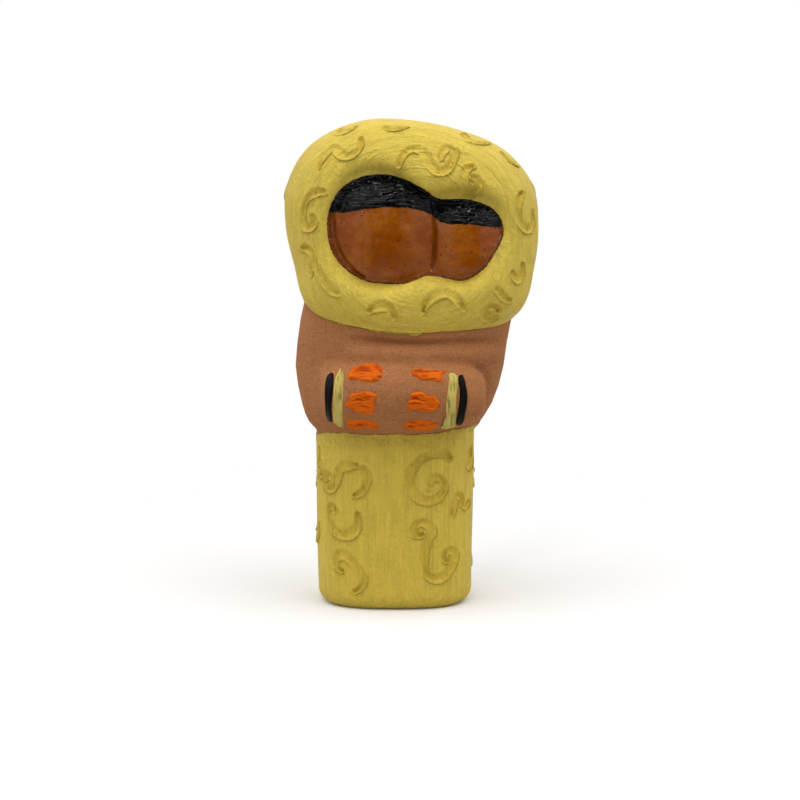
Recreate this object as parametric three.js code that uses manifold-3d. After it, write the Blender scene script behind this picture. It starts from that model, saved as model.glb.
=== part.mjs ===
// A santon: a small crib figure in fired clay, painted, of a mother and her child under one hood.
// It is one moulded solid. An oval skirt carries a wider upper body with the forearms folded across
// it, and a cushion-shaped hood with one opening, in which the two plain, faceless heads stand.
// Scrolls are pressed into the hood and the skirt with a round-ended tool.
// Millimetres, +Z up, the front looks along -Y, and the origin is the centre of the underside.

import * as THREE from "three";
import { mergeVertices } from "three/addons/utils/BufferGeometryUtils.js";
import Module from "manifold-3d";

const wasm = await Module();
wasm.setup();

// Driving dimensions
const SKIRT_HEIGHT = 48;
const SKIRT_WIDTH = 43;
const SKIRT_DEPTH = 33.5;
const SKIRT_TAPER = 0.6; // each side comes in this far towards the foot
const FOOT_ROUNDING = 4;
const BODY_HEIGHT = 26.7; // the bare band between the skirt and the hood
const BODY_WIDTH = 57.4;
const BODY_DEPTH = 37.4;
const ARMS_WIDTH = 43.6;
const ARMS_HEIGHT = 19;
const ARMS_DEPTH = 21.2;
const ARMS_REACH = 25.2; // from the figure's axis to the front of the forearms
const ARMS_CLEARANCE = 0.8; // from the top of the skirt up to the forearms
const FOLD_WIDTH = 40;
const FOLD_HEIGHT = 5.2;
const FOLD_DEPTH = 6;
const FOLD_STAND_OUT = 1; // how far the soft fold above the arms stands out of the body
const HOOD_WIDTH = 67.6;
const HOOD_HEIGHT = 55.4;
const HOOD_DEPTH = 45;
const HOOD_SIDE_STEP = 4.5; // the hood leans this far to the child's side
const OPENING_WIDTH = 46;
const OPENING_HEIGHT = 28.4;
const OPENING_FLOOR = 5.8; // depth of the opening's floor behind the front of the hood
const OPENING_NARROWING = 0.6; // its outline is this much smaller at the floor
const RIM_ROUNDING = 4.2;
const MOTHER_HEAD = { width: 29.5, height: 31, depth: 18, standBack: 2.2 };
const CHILD_HEAD = { width: 22.5, height: 24.5, depth: 15, standBack: 3.2 };
const TOOL_RADIUS = 1.15; // of the tool that pressed the scrolls
const TOOL_PRESS = 0.75; // how deep it went in

// Places, the heads' in shares of half the opening
const HOOD_BOTTOM = SKIRT_HEIGHT + BODY_HEIGHT;
const TOTAL_HEIGHT = HOOD_BOTTOM + HOOD_HEIGHT;
const HOOD_CENTRE = new THREE.Vector3(HOOD_SIDE_STEP, 0, HOOD_BOTTOM + HOOD_HEIGHT / 2);
const OPENING_SIDE_STEP = 1;
const OPENING_DROP = 1.4; // below the middle of the hood
const OPENING_CENTRE = new THREE.Vector3(OPENING_SIDE_STEP, 0, -OPENING_DROP).add(HOOD_CENTRE);
const BODY_MIDDLE_X = 2;
const ARMS_MIDDLE_X = 2.4;
const FOLD_MIDDLE_X = 7;
const FOLD_LEVEL = 0.84; // in shares of the bare band
const MOTHER_PLACE = { across: -0.342, up: -0.05 };
const CHILD_PLACE = { across: 0.6, up: -0.27 };

// How square each form's section is: 2 is an ellipse, more is squarer
const SKIRT_POWER = 2.5;
const BODY_POWER = 2.4;
const HOOD_POWER = 2.6;
const HOOD_LIP_POWER = 4.2; // at the hood's lower lip, which turns in more sharply
const HEAD_OUTLINE_POWER = 2.7;
const HEAD_DOME_POWER = 2.2;
const ARMS_END_POWER = 3.2;
const ARMS_ROUND_POWER = 2.2;
const FOLD_END_POWER = 4;
const RIM_LENGTH = 1.3; // the rim's rounding is this much longer than it is wide

// How finely each form is faceted
const BODY_SIDES = 36;
const FOOT_TURNS = [0, 22.5, 45, 67.5, 90];
const SKIRT_RINGS = [0.3, 0.55, 0.8, 1.08]; // in shares of its height, the last inside the body
const RIM_TURNS = [30, 60, 80];
const HOOD_SIDES = 36;
const HOOD_BANDS = 18;
const SMALL_SIDES = 20;
const SMALL_BANDS = 11;
const FOLD_BANDS = 8;
const OPENING_SIDES = 30;
const TOOL_SIDES = 5;
const TOOL_TURN = 42; // most degrees of an arc that one facet of a groove takes
const TOOL_STRIDE = 4; // and the most millimetres

// Outlines as reaches from a centre, in shares of the half width and half height, one for every
// sixteenth of a turn, counter-clockwise from the right. The hood's lower reaches end in the body.
const HOOD_REACH = [
  1.0, 1.028, 1.02, 0.984, 1.0, 1.07, 1.103, 1.058,
  0.996, 1.005, 1.14, 1.16, 1.15, 1.155, 1.19, 1.05,
];
const OPENING_REACH = [
  0.995, 0.975, 0.814, 0.68, 0.837, 1.11, 1.154, 1.058,
  1.004, 1.02, 1.061, 1.014, 0.873, 0.921, 1.028, 0.983,
];

// The body's left and right edges in shares of half its width, and its depth in shares of half its
// depth, at heights in shares of the bare band above the skirt.
const BODY_STATIONS = [
  { at: -0.06, left: 0.68, right: 0.66, deep: 0.8 },
  { at: 0, left: 0.77, right: 0.765, deep: 0.9 },
  { at: 0.05, left: 0.815, right: 0.81, deep: 0.94 },
  { at: 0.12, left: 0.85, right: 0.855, deep: 0.97 },
  { at: 0.24, left: 0.882, right: 0.922, deep: 0.99 },
  { at: 0.42, left: 0.916, right: 0.984, deep: 1 },
  { at: 0.62, left: 0.937, right: 1.028, deep: 1 },
  { at: 0.85, left: 0.92, right: 1.056, deep: 1 },
  { at: 1.1, left: 0.89, right: 1.1, deep: 0.99 },
  { at: 1.35, left: 0.84, right: 1.1, deep: 0.92 },
  { at: 1.55, left: 0.7, right: 0.95, deep: 0.8 },
];

// A scroll starts at a place on its form, seen from the side it faces (0 is the front, 90 the
// child's side), sets off in a heading (0 is to the right, 90 is up) and is a chain of arcs. An arc
// is a radius, in hundredths of the form's width, and a sweep in degrees, positive turning left.
// On the skirt, across is a share of its half width and up a share of its height.
const SKIRT_SCROLLS = [
  {
    face: 0, across: -0.48, up: 0.82, heading: 175,
    arcs: [[21, 22], [4.7, 62], [32, -20], [3.5, -160], [9, -20], [2.6, -140]],
  },
  { face: 0, across: -0.38, up: 0.8, heading: -60, arcs: [[11.6, -98]] },
  {
    face: 0, across: -0.74, up: 0.56, heading: 100,
    arcs: [[2.6, 170], [28, 12], [11.4, 75], [9, 85], [23, 15]],
  },
  {
    face: 0, across: -0.66, up: 0.22, heading: 170,
    arcs: [[5.3, -210], [37, -22], [7.4, -80], [18, -8]],
  },
  {
    face: 0, across: 0.69, up: 0.855, heading: 125,
    arcs: [[11, 70], [21, 45], [12.8, 50], [16, 35], [9.8, 110], [5.8, 110], [3.5, 130]],
  },
  {
    face: 0, across: 0.71, up: 0.54, heading: 82,
    arcs: [[46, -12], [2.8, -150], [23, 10], [2.6, 140]],
  },
  {
    face: 0, across: 0.335, up: 0.433, heading: 200,
    arcs: [[4, -180], [7, -60], [4.7, -80], [30, 45], [7.7, 115], [21, 35], [3.7, 195], [2.8, 80]],
  },
  { face: 70, across: 0.07, up: 0.9, heading: -65, arcs: [[11.6, -50], [3.7, -150], [7, -60]] },
  { face: -70, across: -0.02, up: 0.885, heading: 255, arcs: [[8.4, 70], [4, -150]] },
  { face: -70, across: -0.05, up: 0.45, heading: 290, arcs: [[7, -110], [3.5, -150]] },
];
// On the hood, across and up are shares of its half width and half height from its centre.
const HOOD_SCROLLS = [
  {
    face: 0, across: -0.71, up: 0.55, heading: 85,
    arcs: [[11.8, -40], [1.9, -95], [18, 8], [4.3, 122], [5.9, 35]],
  },
  { face: 0, across: -0.57, up: 0.89, heading: -70, arcs: [[3.3, 75], [4.1, 65]] },
  { face: 0, across: -0.195, up: 0.91, heading: -35, arcs: [[4.7, 45], [13, 18]] },
  {
    face: 0, across: -0.1, up: 0.57, heading: 80,
    arcs: [[8.9, -25], [5, -116], [30, 10], [3.8, 115], [12, 20], [2.2, 138], [4.4, 45]],
  },
  {
    face: 0, across: 0.455, up: 0.55, heading: 190,
    arcs: [[4.4, 75], [6.7, 25], [3, 90], [2.4, 90], [1.8, 70]],
  },
  { face: 0, across: 0.395, up: 0.85, heading: 255, arcs: [[3.8, 75], [6.7, 50], [5.9, 20]] },
  { face: 0, across: 0.7, up: 0.67, heading: -60, arcs: [[10.4, 30], [4.4, 20]] },
  { face: 0, across: 0.845, up: 0.307, heading: 218, arcs: [[8, 55], [7.4, 62], [3.6, 110], [9, 20]] },
  { face: 0, across: 0.775, up: -0.44, heading: -60, arcs: [[6, 20], [1.8, 105], [9, 25]] },
  { face: 0, across: 0.657, up: -0.59, heading: -40, arcs: [[24, -8], [7.4, 30]] },
  { face: 0, across: 0.663, up: -0.795, heading: 100, arcs: [[2.8, 300]] },
  { face: 0, across: 0.086, up: -0.787, heading: 85, arcs: [[8, -60], [7.1, -75], [18, -14]] },
  { face: 0, across: -0.322, up: -0.78, heading: 48, arcs: [[6.7, -48], [3.8, -75], [15, -8]] },
  {
    face: 0, across: -0.678, up: 0.32, heading: 172,
    arcs: [[6.8, 80], [30, 12], [2.4, 190], [4.4, 15]],
  },
  { face: 0, across: -0.846, up: -0.206, heading: 18, arcs: [[4.7, -90], [4.1, -55], [4.4, 35]] },
  { face: 0, across: -0.74, up: -0.343, heading: -62, arcs: [[44, 15], [9, 20]] },
];
// The sides and the back carry a few simpler scrolls of the same kind, over and over, in rings.
const BACK_MOTIFS = [
  [[2.6, 170], [8, 100], [16, 25]],
  [[8.4, -120], [5.2, -150]],
  [[2.8, -180], [11, 60], [5.8, 100]],
];
const SKIRT_BACK_RINGS = { faces: [97, 151, 209, 263], levels: [0.27, 0.7] };
const HOOD_BACK_RINGS = { faces: [104, 150, 196, 242], levels: [-0.4, 0.38] };
const RING_STAGGER = 16; // degrees from one ring to the next
const RING_HEADING = { first: 100, eachFace: 67, eachRing: 140 };
const TOOL_TILT = 0.65; // a scroll is pressed in mostly square to the skin, a little from its side

const turn = Math.PI * 2;
const degrees = (d) => THREE.MathUtils.degToRad(d);
const SAME_POINT = 1e-4; // points closer than this are one

// A solid from a geometry, once its shared vertices are merged.
function solid(geometry) {
  geometry.deleteAttribute("normal");
  geometry.deleteAttribute("uv");
  const merged = mergeVertices(geometry, SAME_POINT);
  return new wasm.Manifold(
    new wasm.Mesh({
      numProp: 3,
      vertProperties: new Float32Array(merged.attributes.position.array),
      triVerts: new Uint32Array(merged.index.array),
    }),
  );
}

function geometryOf(manifold) {
  const mesh = manifold.getMesh();
  const geometry = new THREE.BufferGeometry();
  geometry.setAttribute("position", new THREE.BufferAttribute(mesh.vertProperties, 3));
  geometry.setIndex(new THREE.BufferAttribute(mesh.triVerts, 1));
  geometry.computeVertexNormals();
  return geometry;
}

// An outline's reach at an angle, smooth through its sixteen values.
function reach(values, angle) {
  const n = values.length;
  const place = ((((angle / turn) * n) % n) + n) % n;
  const i = Math.floor(place);
  const t = place - i;
  const [a, b, c, d] = [-1, 0, 1, 2].map((k) => values[(i + k + n) % n]);
  return b + 0.5 * t * (c - a + t * (2 * a - 5 * b + 4 * c - d + t * (3 * (b - c) + d - a)));
}

// A point of a superellipse of half sizes a and b, at an angle.
function superellipse(angle, a, b, power) {
  const c = Math.cos(angle);
  const s = Math.sin(angle);
  const size = (Math.abs(c) ** power + Math.abs(s) ** power) ** (1 / power);
  return [(a * c) / size, (b * s) / size];
}

// A closed skin through rings of points, each ring counter-clockwise seen from its far end.
function loft(rings) {
  const sides = rings[0].length;
  const positions = rings.flat();
  const index = [];
  for (let r = 0; r + 1 < rings.length; r++) {
    for (let i = 0; i < sides; i++) {
      const j = (i + 1) % sides;
      const [a, b, c, d] = [r * sides + i, r * sides + j, (r + 1) * sides + j, (r + 1) * sides + i];
      index.push(a, b, c, a, c, d);
    }
  }
  for (const [ring, turned] of [[0, true], [rings.length - 1, false]]) {
    const middle = new THREE.Vector3();
    rings[ring].forEach((p) => middle.addScaledVector(p, 1 / sides));
    const m = positions.push(middle) - 1;
    for (let i = 0; i < sides; i++) {
      const [a, b] = [ring * sides + i, ring * sides + ((i + 1) % sides)];
      index.push(...(turned ? [m, b, a] : [m, a, b]));
    }
  }
  return solid(new THREE.BufferGeometry().setFromPoints(positions).setIndex(index));
}

// A level ring: a superellipse between a left and a right edge.
function levelRing(z, left, right, halfDepth, power) {
  return Array.from({ length: BODY_SIDES }, (_, i) => {
    const [x, y] = superellipse((turn * i) / BODY_SIDES, (right - left) / 2, halfDepth, power);
    return new THREE.Vector3((left + right) / 2 + x, y, z);
  });
}

// A ball pushed in or out until a gauge, which grows evenly with distance, reads 1, and then bent.
function gaugedBall(gauge, centre, sides, bands, bend = () => {}) {
  const ball = new THREE.SphereGeometry(1, sides, bands);
  ball.rotateX(Math.PI / 2);
  const at = ball.attributes.position;
  const p = new THREE.Vector3();
  for (let i = 0; i < at.count; i++) {
    p.fromBufferAttribute(at, i);
    p.divideScalar(gauge(p)).add(centre);
    bend(p);
    at.setXYZ(i, p.x, p.y, p.z);
  }
  return solid(ball);
}

function skirt() {
  const rings = [];
  const add = (z, rounding) => {
    const inset = rounding + SKIRT_TAPER * Math.max(0, 1 - z / SKIRT_HEIGHT);
    const side = SKIRT_WIDTH / 2 - inset;
    rings.push(levelRing(z, -side, side, SKIRT_DEPTH / 2 - inset, SKIRT_POWER));
  };
  for (const a of FOOT_TURNS) {
    add(FOOT_ROUNDING * (1 - Math.cos(degrees(a))), FOOT_ROUNDING * (1 - Math.sin(degrees(a))));
  }
  for (const share of SKIRT_RINGS) add(SKIRT_HEIGHT * share, 0);
  return loft(rings);
}

function upperBody() {
  const half = BODY_WIDTH / 2;
  return loft(
    BODY_STATIONS.map(({ at, left, right, deep }) => {
      const z = SKIRT_HEIGHT + BODY_HEIGHT * at;
      return levelRing(z, -half * left, half * right, (BODY_DEPTH / 2) * deep, BODY_POWER);
    }),
  );
}

function foldedArms() {
  const half = new THREE.Vector3(ARMS_WIDTH, ARMS_DEPTH, ARMS_HEIGHT).divideScalar(2);
  const bottom = SKIRT_HEIGHT + ARMS_CLEARANCE;
  const centre = new THREE.Vector3(ARMS_MIDDLE_X, half.y - ARMS_REACH, bottom + half.z);
  const gauge = (p) => {
    const y = Math.abs(p.y / half.y) ** ARMS_ROUND_POWER;
    const z = Math.abs(p.z / half.z) ** ARMS_ROUND_POWER;
    const round = (y + z) ** (ARMS_END_POWER / ARMS_ROUND_POWER);
    return (Math.abs(p.x / half.x) ** ARMS_END_POWER + round) ** (1 / ARMS_END_POWER);
  };
  return gaugedBall(gauge, centre, SMALL_SIDES, SMALL_BANDS);
}

// The fold lies along the front of the body: a long ball bent round it.
function foldAboveArms() {
  const half = new THREE.Vector3(FOLD_WIDTH, FOLD_DEPTH, FOLD_HEIGHT).divideScalar(2);
  const centre = new THREE.Vector3(FOLD_MIDDLE_X, 0, SKIRT_HEIGHT + BODY_HEIGHT * FOLD_LEVEL);
  const gauge = (p) => {
    const round = Math.hypot(p.y / half.y, p.z / half.z) ** FOLD_END_POWER;
    return (Math.abs(p.x / half.x) ** FOLD_END_POWER + round) ** (1 / FOLD_END_POWER);
  };
  const bodyFront = (x) => {
    const across = Math.min(1, Math.abs(x - BODY_MIDDLE_X) / (BODY_WIDTH / 2));
    return (BODY_DEPTH / 2) * (1 - across ** BODY_POWER) ** (1 / BODY_POWER);
  };
  const bend = (p) => {
    p.y += half.y - FOLD_STAND_OUT - bodyFront(p.x);
  };
  return gaugedBall(gauge, centre, SMALL_SIDES, FOLD_BANDS, bend);
}

function hood() {
  const gauge = (p) => {
    const [u, v] = [p.x / (HOOD_WIDTH / 2), p.z / (HOOD_HEIGHT / 2)];
    const angle = Math.atan2(v, u);
    const low = Math.max(0, -Math.sin(angle)) ** 2;
    const power = THREE.MathUtils.lerp(HOOD_POWER, HOOD_LIP_POWER, low);
    const out = Math.hypot(u, v) / reach(HOOD_REACH, angle);
    return (out ** power + Math.abs(p.y / (HOOD_DEPTH / 2)) ** power) ** (1 / power);
  };
  return gaugedBall(gauge, HOOD_CENTRE, HOOD_SIDES, HOOD_BANDS);
}

// What the opening takes out of the hood: its outline, wider to the front where the rim rounds off.
function opening() {
  const front = -HOOD_DEPTH / 2;
  const mostRounding = (OPENING_FLOOR - OPENING_NARROWING) / RIM_LENGTH;
  const rounding = Math.min(RIM_ROUNDING, mostRounding);
  const rimBack = front + rounding * RIM_LENGTH;
  const levels = [[front + OPENING_FLOOR, -OPENING_NARROWING], [rimBack, 0]];
  for (const a of RIM_TURNS) {
    levels.push([rimBack - rounding * Math.sin(degrees(a)), rounding * (1 - Math.cos(degrees(a)))]);
  }
  levels.push([front - rounding, rounding]);
  return loft(
    levels.map(([y, grow]) =>
      Array.from({ length: OPENING_SIDES }, (_, i) => {
        const angle = (turn * i) / OPENING_SIDES;
        const r = reach(OPENING_REACH, angle);
        const x = (OPENING_WIDTH / 2) * r * Math.cos(angle);
        const z = (OPENING_HEIGHT / 2) * r * Math.sin(angle);
        const out = 1 + grow / Math.hypot(x, z);
        return new THREE.Vector3(x * out, y, z * out).add(OPENING_CENTRE);
      }),
    ),
  );
}

function head({ width, height, depth, standBack }, { across, up }) {
  const half = new THREE.Vector3(width, depth, height).divideScalar(2);
  const gauge = (p) => {
    const outline = Math.abs(p.x / half.x) ** HEAD_OUTLINE_POWER + Math.abs(p.z / half.z) ** HEAD_OUTLINE_POWER;
    const dome = outline ** (HEAD_DOME_POWER / HEAD_OUTLINE_POWER);
    return (dome + Math.abs(p.y / half.y) ** HEAD_DOME_POWER) ** (1 / HEAD_DOME_POWER);
  };
  const y = -HOOD_DEPTH / 2 + standBack + half.y;
  const centre = new THREE.Vector3(across * (OPENING_WIDTH / 2), y, up * (OPENING_HEIGHT / 2));
  return gaugedBall(gauge, centre.add(OPENING_CENTRE), SMALL_SIDES, SMALL_BANDS);
}

// The points of a chain of arcs from (0, 0), in a plane.
function arcChain(heading, arcs, unit) {
  let angle = degrees(heading);
  const at = new THREE.Vector2();
  const points = [at.clone()];
  for (const [size, sweep] of arcs) {
    const radius = size * unit;
    const length = radius * Math.abs(degrees(sweep));
    const steps = Math.ceil(Math.max(Math.abs(sweep) / TOOL_TURN, length / TOOL_STRIDE));
    const bend = degrees(sweep) / steps;
    const chord = 2 * radius * Math.sin(Math.abs(bend) / 2);
    for (let i = 0; i < steps; i++) {
      at.x += chord * Math.cos(angle + bend / 2);
      at.y += chord * Math.sin(angle + bend / 2);
      points.push(at.clone());
      angle += bend;
    }
  }
  return points;
}

// The solid that the tool sweeps along one scroll, laid on the figure's smooth skin. The scroll is
// drawn on a plane at its start, and each point of it is dropped straight onto the skin.
function scrollCutter(skin, form, { face, across, up, heading, arcs }) {
  const side = new THREE.Vector3(Math.sin(degrees(face)), -Math.cos(degrees(face)), 0);
  const sideRight = new THREE.Vector3(Math.cos(degrees(face)), Math.sin(degrees(face)), 0);
  const onSkin = (over, direction) => {
    const from = over.addScaledVector(direction, TOTAL_HEIGHT);
    return new THREE.Raycaster(from, direction.clone().negate()).intersectObject(skin)[0];
  };
  const seenFrom = form.centre.clone().addScaledVector(sideRight, (across * form.width) / 2);
  seenFrom.z += up * form.rise;
  const start = onSkin(seenFrom, side);
  const out = side.clone().lerp(start.face.normal, TOOL_TILT).normalize();
  const right = new THREE.Vector3(0, 0, 1).cross(out).normalize();
  const upward = out.clone().cross(right);
  const path = arcChain(heading, arcs, form.width / 100).map((p) => {
    const over = start.point.clone().addScaledVector(right, p.x).addScaledVector(upward, p.y);
    return onSkin(over, out).point.addScaledVector(out, TOOL_RADIUS - TOOL_PRESS);
  });
  const corners = Array.from({ length: TOOL_SIDES }, (_, i) => {
    const a = (turn * i) / TOOL_SIDES;
    return new THREE.Vector2(TOOL_RADIUS * Math.cos(a), TOOL_RADIUS * Math.sin(a));
  });
  return solid(
    new THREE.ExtrudeGeometry(new THREE.Shape(corners), {
      steps: path.length - 1,
      extrudePath: new THREE.CatmullRomCurve3(path),
      bevelEnabled: false,
    }),
  );
}

function backScrolls({ faces, levels }) {
  return levels.flatMap((up, ring) =>
    faces.map((face, i) => ({
      face: face + RING_STAGGER * ring,
      across: 0,
      up,
      heading: RING_HEADING.first + RING_HEADING.eachFace * i + RING_HEADING.eachRing * ring,
      arcs: BACK_MOTIFS[(i + ring) % BACK_MOTIFS.length],
    })),
  );
}

// The whole figure, first smooth and then with its scrolls.
let figure = skirt().add(upperBody()).add(foldedArms()).add(foldAboveArms());
figure = figure.add(hood()).subtract(opening());
figure = figure.add(head(MOTHER_HEAD, MOTHER_PLACE)).add(head(CHILD_HEAD, CHILD_PLACE));

const skin = new THREE.Mesh(geometryOf(figure));
const skirtForm = { centre: new THREE.Vector3(), width: SKIRT_WIDTH, rise: SKIRT_HEIGHT };
const hoodForm = { centre: HOOD_CENTRE, width: HOOD_WIDTH, rise: HOOD_HEIGHT / 2 };
for (const scroll of [...SKIRT_SCROLLS, ...backScrolls(SKIRT_BACK_RINGS)]) {
  figure = figure.subtract(scrollCutter(skin, skirtForm, scroll));
}
for (const scroll of [...HOOD_SCROLLS, ...backScrolls(HOOD_BACK_RINGS)]) {
  figure = figure.subtract(scrollCutter(skin, hoodForm, scroll));
}

const paintedClay = new THREE.MeshStandardMaterial({ color: 0xcdb94f, roughness: 0.75, metalness: 0 });
const mesh = new THREE.Mesh(geometryOf(figure), paintedClay);
mesh.name = "santon_figure";

const group = new THREE.Group();
group.add(mesh);

export default group;
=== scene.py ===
# %% [markdown]
# # Painting a santon
# A santon is a small crib figure. This one is a mother and her child under one hood, moulded in one
# piece of red clay, fired, glazed inside the hood and painted thickly by hand. The measured solid
# comes in as a fixed frame. Everything below is worked out in millimetres in that frame, and only
# turned into Blender's metres when a mesh is made, so that the numbers stay easy to read.

# %% Load the frame
import math

import bmesh
import bpy
import numpy as np
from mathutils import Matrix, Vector
from mathutils.bvhtree import BVHTree
from mathutils.kdtree import KDTree


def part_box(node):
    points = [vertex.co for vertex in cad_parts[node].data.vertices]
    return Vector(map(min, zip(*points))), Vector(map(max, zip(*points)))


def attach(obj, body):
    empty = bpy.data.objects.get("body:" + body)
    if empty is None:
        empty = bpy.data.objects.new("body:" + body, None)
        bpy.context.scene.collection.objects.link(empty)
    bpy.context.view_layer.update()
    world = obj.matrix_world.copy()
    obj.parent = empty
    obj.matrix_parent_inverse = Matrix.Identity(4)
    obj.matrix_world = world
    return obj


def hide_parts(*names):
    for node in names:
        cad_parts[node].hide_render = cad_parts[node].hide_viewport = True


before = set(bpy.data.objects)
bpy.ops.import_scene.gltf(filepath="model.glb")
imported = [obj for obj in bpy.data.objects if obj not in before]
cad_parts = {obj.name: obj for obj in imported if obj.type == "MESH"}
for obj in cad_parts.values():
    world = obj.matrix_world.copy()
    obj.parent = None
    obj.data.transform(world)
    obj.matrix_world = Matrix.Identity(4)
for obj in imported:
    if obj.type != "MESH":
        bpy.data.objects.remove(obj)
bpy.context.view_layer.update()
MM = 0.001
low, high = (np.array(corner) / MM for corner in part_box("santon_figure"))
print("the solid measures", np.round(high - low, 1), "mm")

# %% [markdown]
# ## The camera
# The photograph looks at the figure from the front, slightly from above, through a fairly long lens.
# A camera's lens and its sensor width together set the angle of view, so the lens is worked out from
# how many pixels of the picture one unit of slope covers. No depth of field: all of it is sharp.

# %% Set up the camera
PICTURE_WIDTH = 800
PIXELS_PER_SLOPE = 1649
SENSOR_WIDTH = 36
CAMERA_PITCH = math.radians(7)
CAMERA_DISTANCE = 450
camera_aim = np.array([1.4, 0, 54.9])

lens = bpy.data.cameras.new("photo_camera")
lens.sensor_width = SENSOR_WIDTH
lens.lens = PIXELS_PER_SLOPE / PICTURE_WIDTH * SENSOR_WIDTH
camera = bpy.data.objects.new("photo_camera", lens)
bpy.context.collection.objects.link(camera)
backwards = np.array([0, -math.cos(CAMERA_PITCH), math.sin(CAMERA_PITCH)])
camera.location = (camera_aim + CAMERA_DISTANCE * backwards) * MM
camera.rotation_euler = (math.pi / 2 - CAMERA_PITCH, 0, 0)
bpy.context.scene.camera = camera
print("lens", round(lens.lens, 1), "mm")

# %% [markdown]
# ## The clay as a field of distances
# Soft hand-made forms melt into each other, which is hard to get by joining meshes. A field does it
# easily: a function that says for any point how far it is from the surface, below zero inside. Two
# forms join by taking the smaller of their two distances, and a smooth version of that rounds off the
# crease between them, as a wet finger does. These helpers take arrays of points, all at once.

# %% Blend fields softly
def soft_union(a, b, softness):
    share = np.clip(0.5 + 0.5 * (b - a) / softness, 0, 1)
    return b + (a - b) * share - softness * share * (1 - share)


def soft_cut(a, b, softness):
    return -soft_union(-a, b, softness)


def grown(share):
    """How far out a point is whose gauge reads share: 1 on the surface, more outside."""
    return 1 - 1 / np.maximum(share, 1e-6)


def smooth_step(start, end, value):
    t = np.clip((value - start) / (end - start), 0, 1)
    return t * t * (3 - 2 * t)


def smooth_list(values, place):
    """A smooth closed curve through a ring of values, at a place counted in values."""
    values = np.asarray(values, float)
    count = len(values)
    first = np.floor(place).astype(int)
    t = place - first
    a, b, c, d = (values[(first + k) % count] for k in (-1, 0, 1, 2))
    return b + 0.5 * t * (c - a + t * (2 * a - 5 * b + 4 * c - d + t * (3 * (b - c) + d - a)))


def ring_value(values, angle):
    return smooth_list(values, angle / (2 * math.pi) * len(values) % len(values))


print("two walls that meet at 0.2 mm melt to", round(float(soft_union(0.2, 0.2, 2)), 2), "mm")

# %% [markdown]
# ## The sizes of the figure
# These are the solid's sizes, so that the clay made here lies where the solid lies. Only the fold of
# the shawl, the larger head and the rounding of the rim are a touch finer here, by about a
# millimetre, as the photograph shows them. The outlines of the hood and of its opening are egg-like,
# and no formula fits them, so each is a ring of reaches from its middle with a smooth curve through
# them.

# %% Write down the sizes
SKIRT_HEIGHT = 48
SKIRT_WIDTH = 43
SKIRT_DEPTH = 33.5
SKIRT_TAPER = 0.6
SKIRT_POWER = 2.5
FOOT_ROUNDING = 4
BODY_HEIGHT = 26.7
BODY_WIDTH = 57.4
BODY_DEPTH = 37.4
BODY_POWER = 2.4
ARMS_SIZE = np.array([43.6, 21.2, 19])
ARMS_REACH = 25.2
ARMS_CLEARANCE = 0.8
ARMS_POWERS = 2.2, 3.2
FOLD_SIZE = np.array([42, 6, 7])
FOLD_STAND_OUT = 1.3
FOLD_POWERS = 2, 4
ARMS_CREASE = 0.9
FOLD_CREASE = 1.8
HOOD_SIZE = np.array([67.6, 45, 55.4])
HOOD_POWER, HOOD_SQUARER_BELOW = 2.6, 1.6
OPENING_SIZE = np.array([46, 0, 28.4])
OPENING_FLOOR = 5.8
OPENING_NARROWING = 1.6
RIM_ROUNDING = 4
MOTHER = {"size": np.array([28.8, 18, 31]), "stand_back": 2, "across": -0.325, "up": -0.05}
CHILD = {"size": np.array([22.5, 15, 24.5]), "stand_back": 3.2, "across": 0.6, "up": -0.27}
HEAD_POWERS = 2.7, 2.2
HOOD_BOTTOM = SKIRT_HEIGHT + BODY_HEIGHT
HOOD_CENTRE = np.array([4.5, 0, HOOD_BOTTOM + HOOD_SIZE[2] / 2])
OPENING_CENTRE = HOOD_CENTRE + (1, 0, -1.4)
HOOD_FRONT = -HOOD_SIZE[1] / 2
ARMS_CENTRE = np.array([
    2.4, ARMS_SIZE[1] / 2 - ARMS_REACH, SKIRT_HEIGHT + ARMS_CLEARANCE + ARMS_SIZE[2] / 2,
])
FOLD_CENTRE = np.array([7, 0, SKIRT_HEIGHT + BODY_HEIGHT * 0.78])

HOOD_REACH = [
    1.0, 1.028, 1.02, 0.984, 1.0, 1.07, 1.103, 1.058,
    0.996, 1.005, 1.14, 1.16, 1.15, 1.155, 1.19, 1.05,
]
OPENING_REACH = [
    0.995, 0.975, 0.814, 0.68, 0.837, 1.11, 1.154, 1.058,
    1.004, 1.02, 1.061, 1.014, 0.873, 0.921, 1.028, 0.983,
]
# heights up the bare band, the left and right edges and the depth, as shares
BODY_AT = [-0.06, 0, 0.05, 0.12, 0.24, 0.42, 0.62, 0.85, 1.1, 1.35, 1.55]
BODY_LEFT = [0.68, 0.77, 0.815, 0.85, 0.882, 0.916, 0.937, 0.92, 0.89, 0.84, 0.7]
BODY_RIGHT = [0.66, 0.765, 0.81, 0.855, 0.922, 0.984, 1.028, 1.056, 1.1, 1.1, 0.95]
BODY_DEEP = [0.8, 0.9, 0.94, 0.97, 0.99, 1, 1, 1, 0.99, 0.92, 0.8]
print("hood bottom at", HOOD_BOTTOM, "mm, hood centre at", HOOD_CENTRE)

# %% [markdown]
# ## The forms
# Each form is a gauge: it reads 1 on the surface and grows evenly outwards. A power of 2 makes an
# ellipse, and a higher power a squarer, cushion-like section. The skirt is an oval stump with a
# rounded foot, and the upper body a wider one whose uneven sides follow a list of shares. The folded
# forearms are a thick roll lying across its front, and the fold of the shawl a thin one above them.

# %% Describe the skirt, the body and the arms
SKIRT_TOP_SHARE = 1.08  # the skirt goes on a little into the body, so no gap is left between them
FOLD_ACROSS = 2


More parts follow.
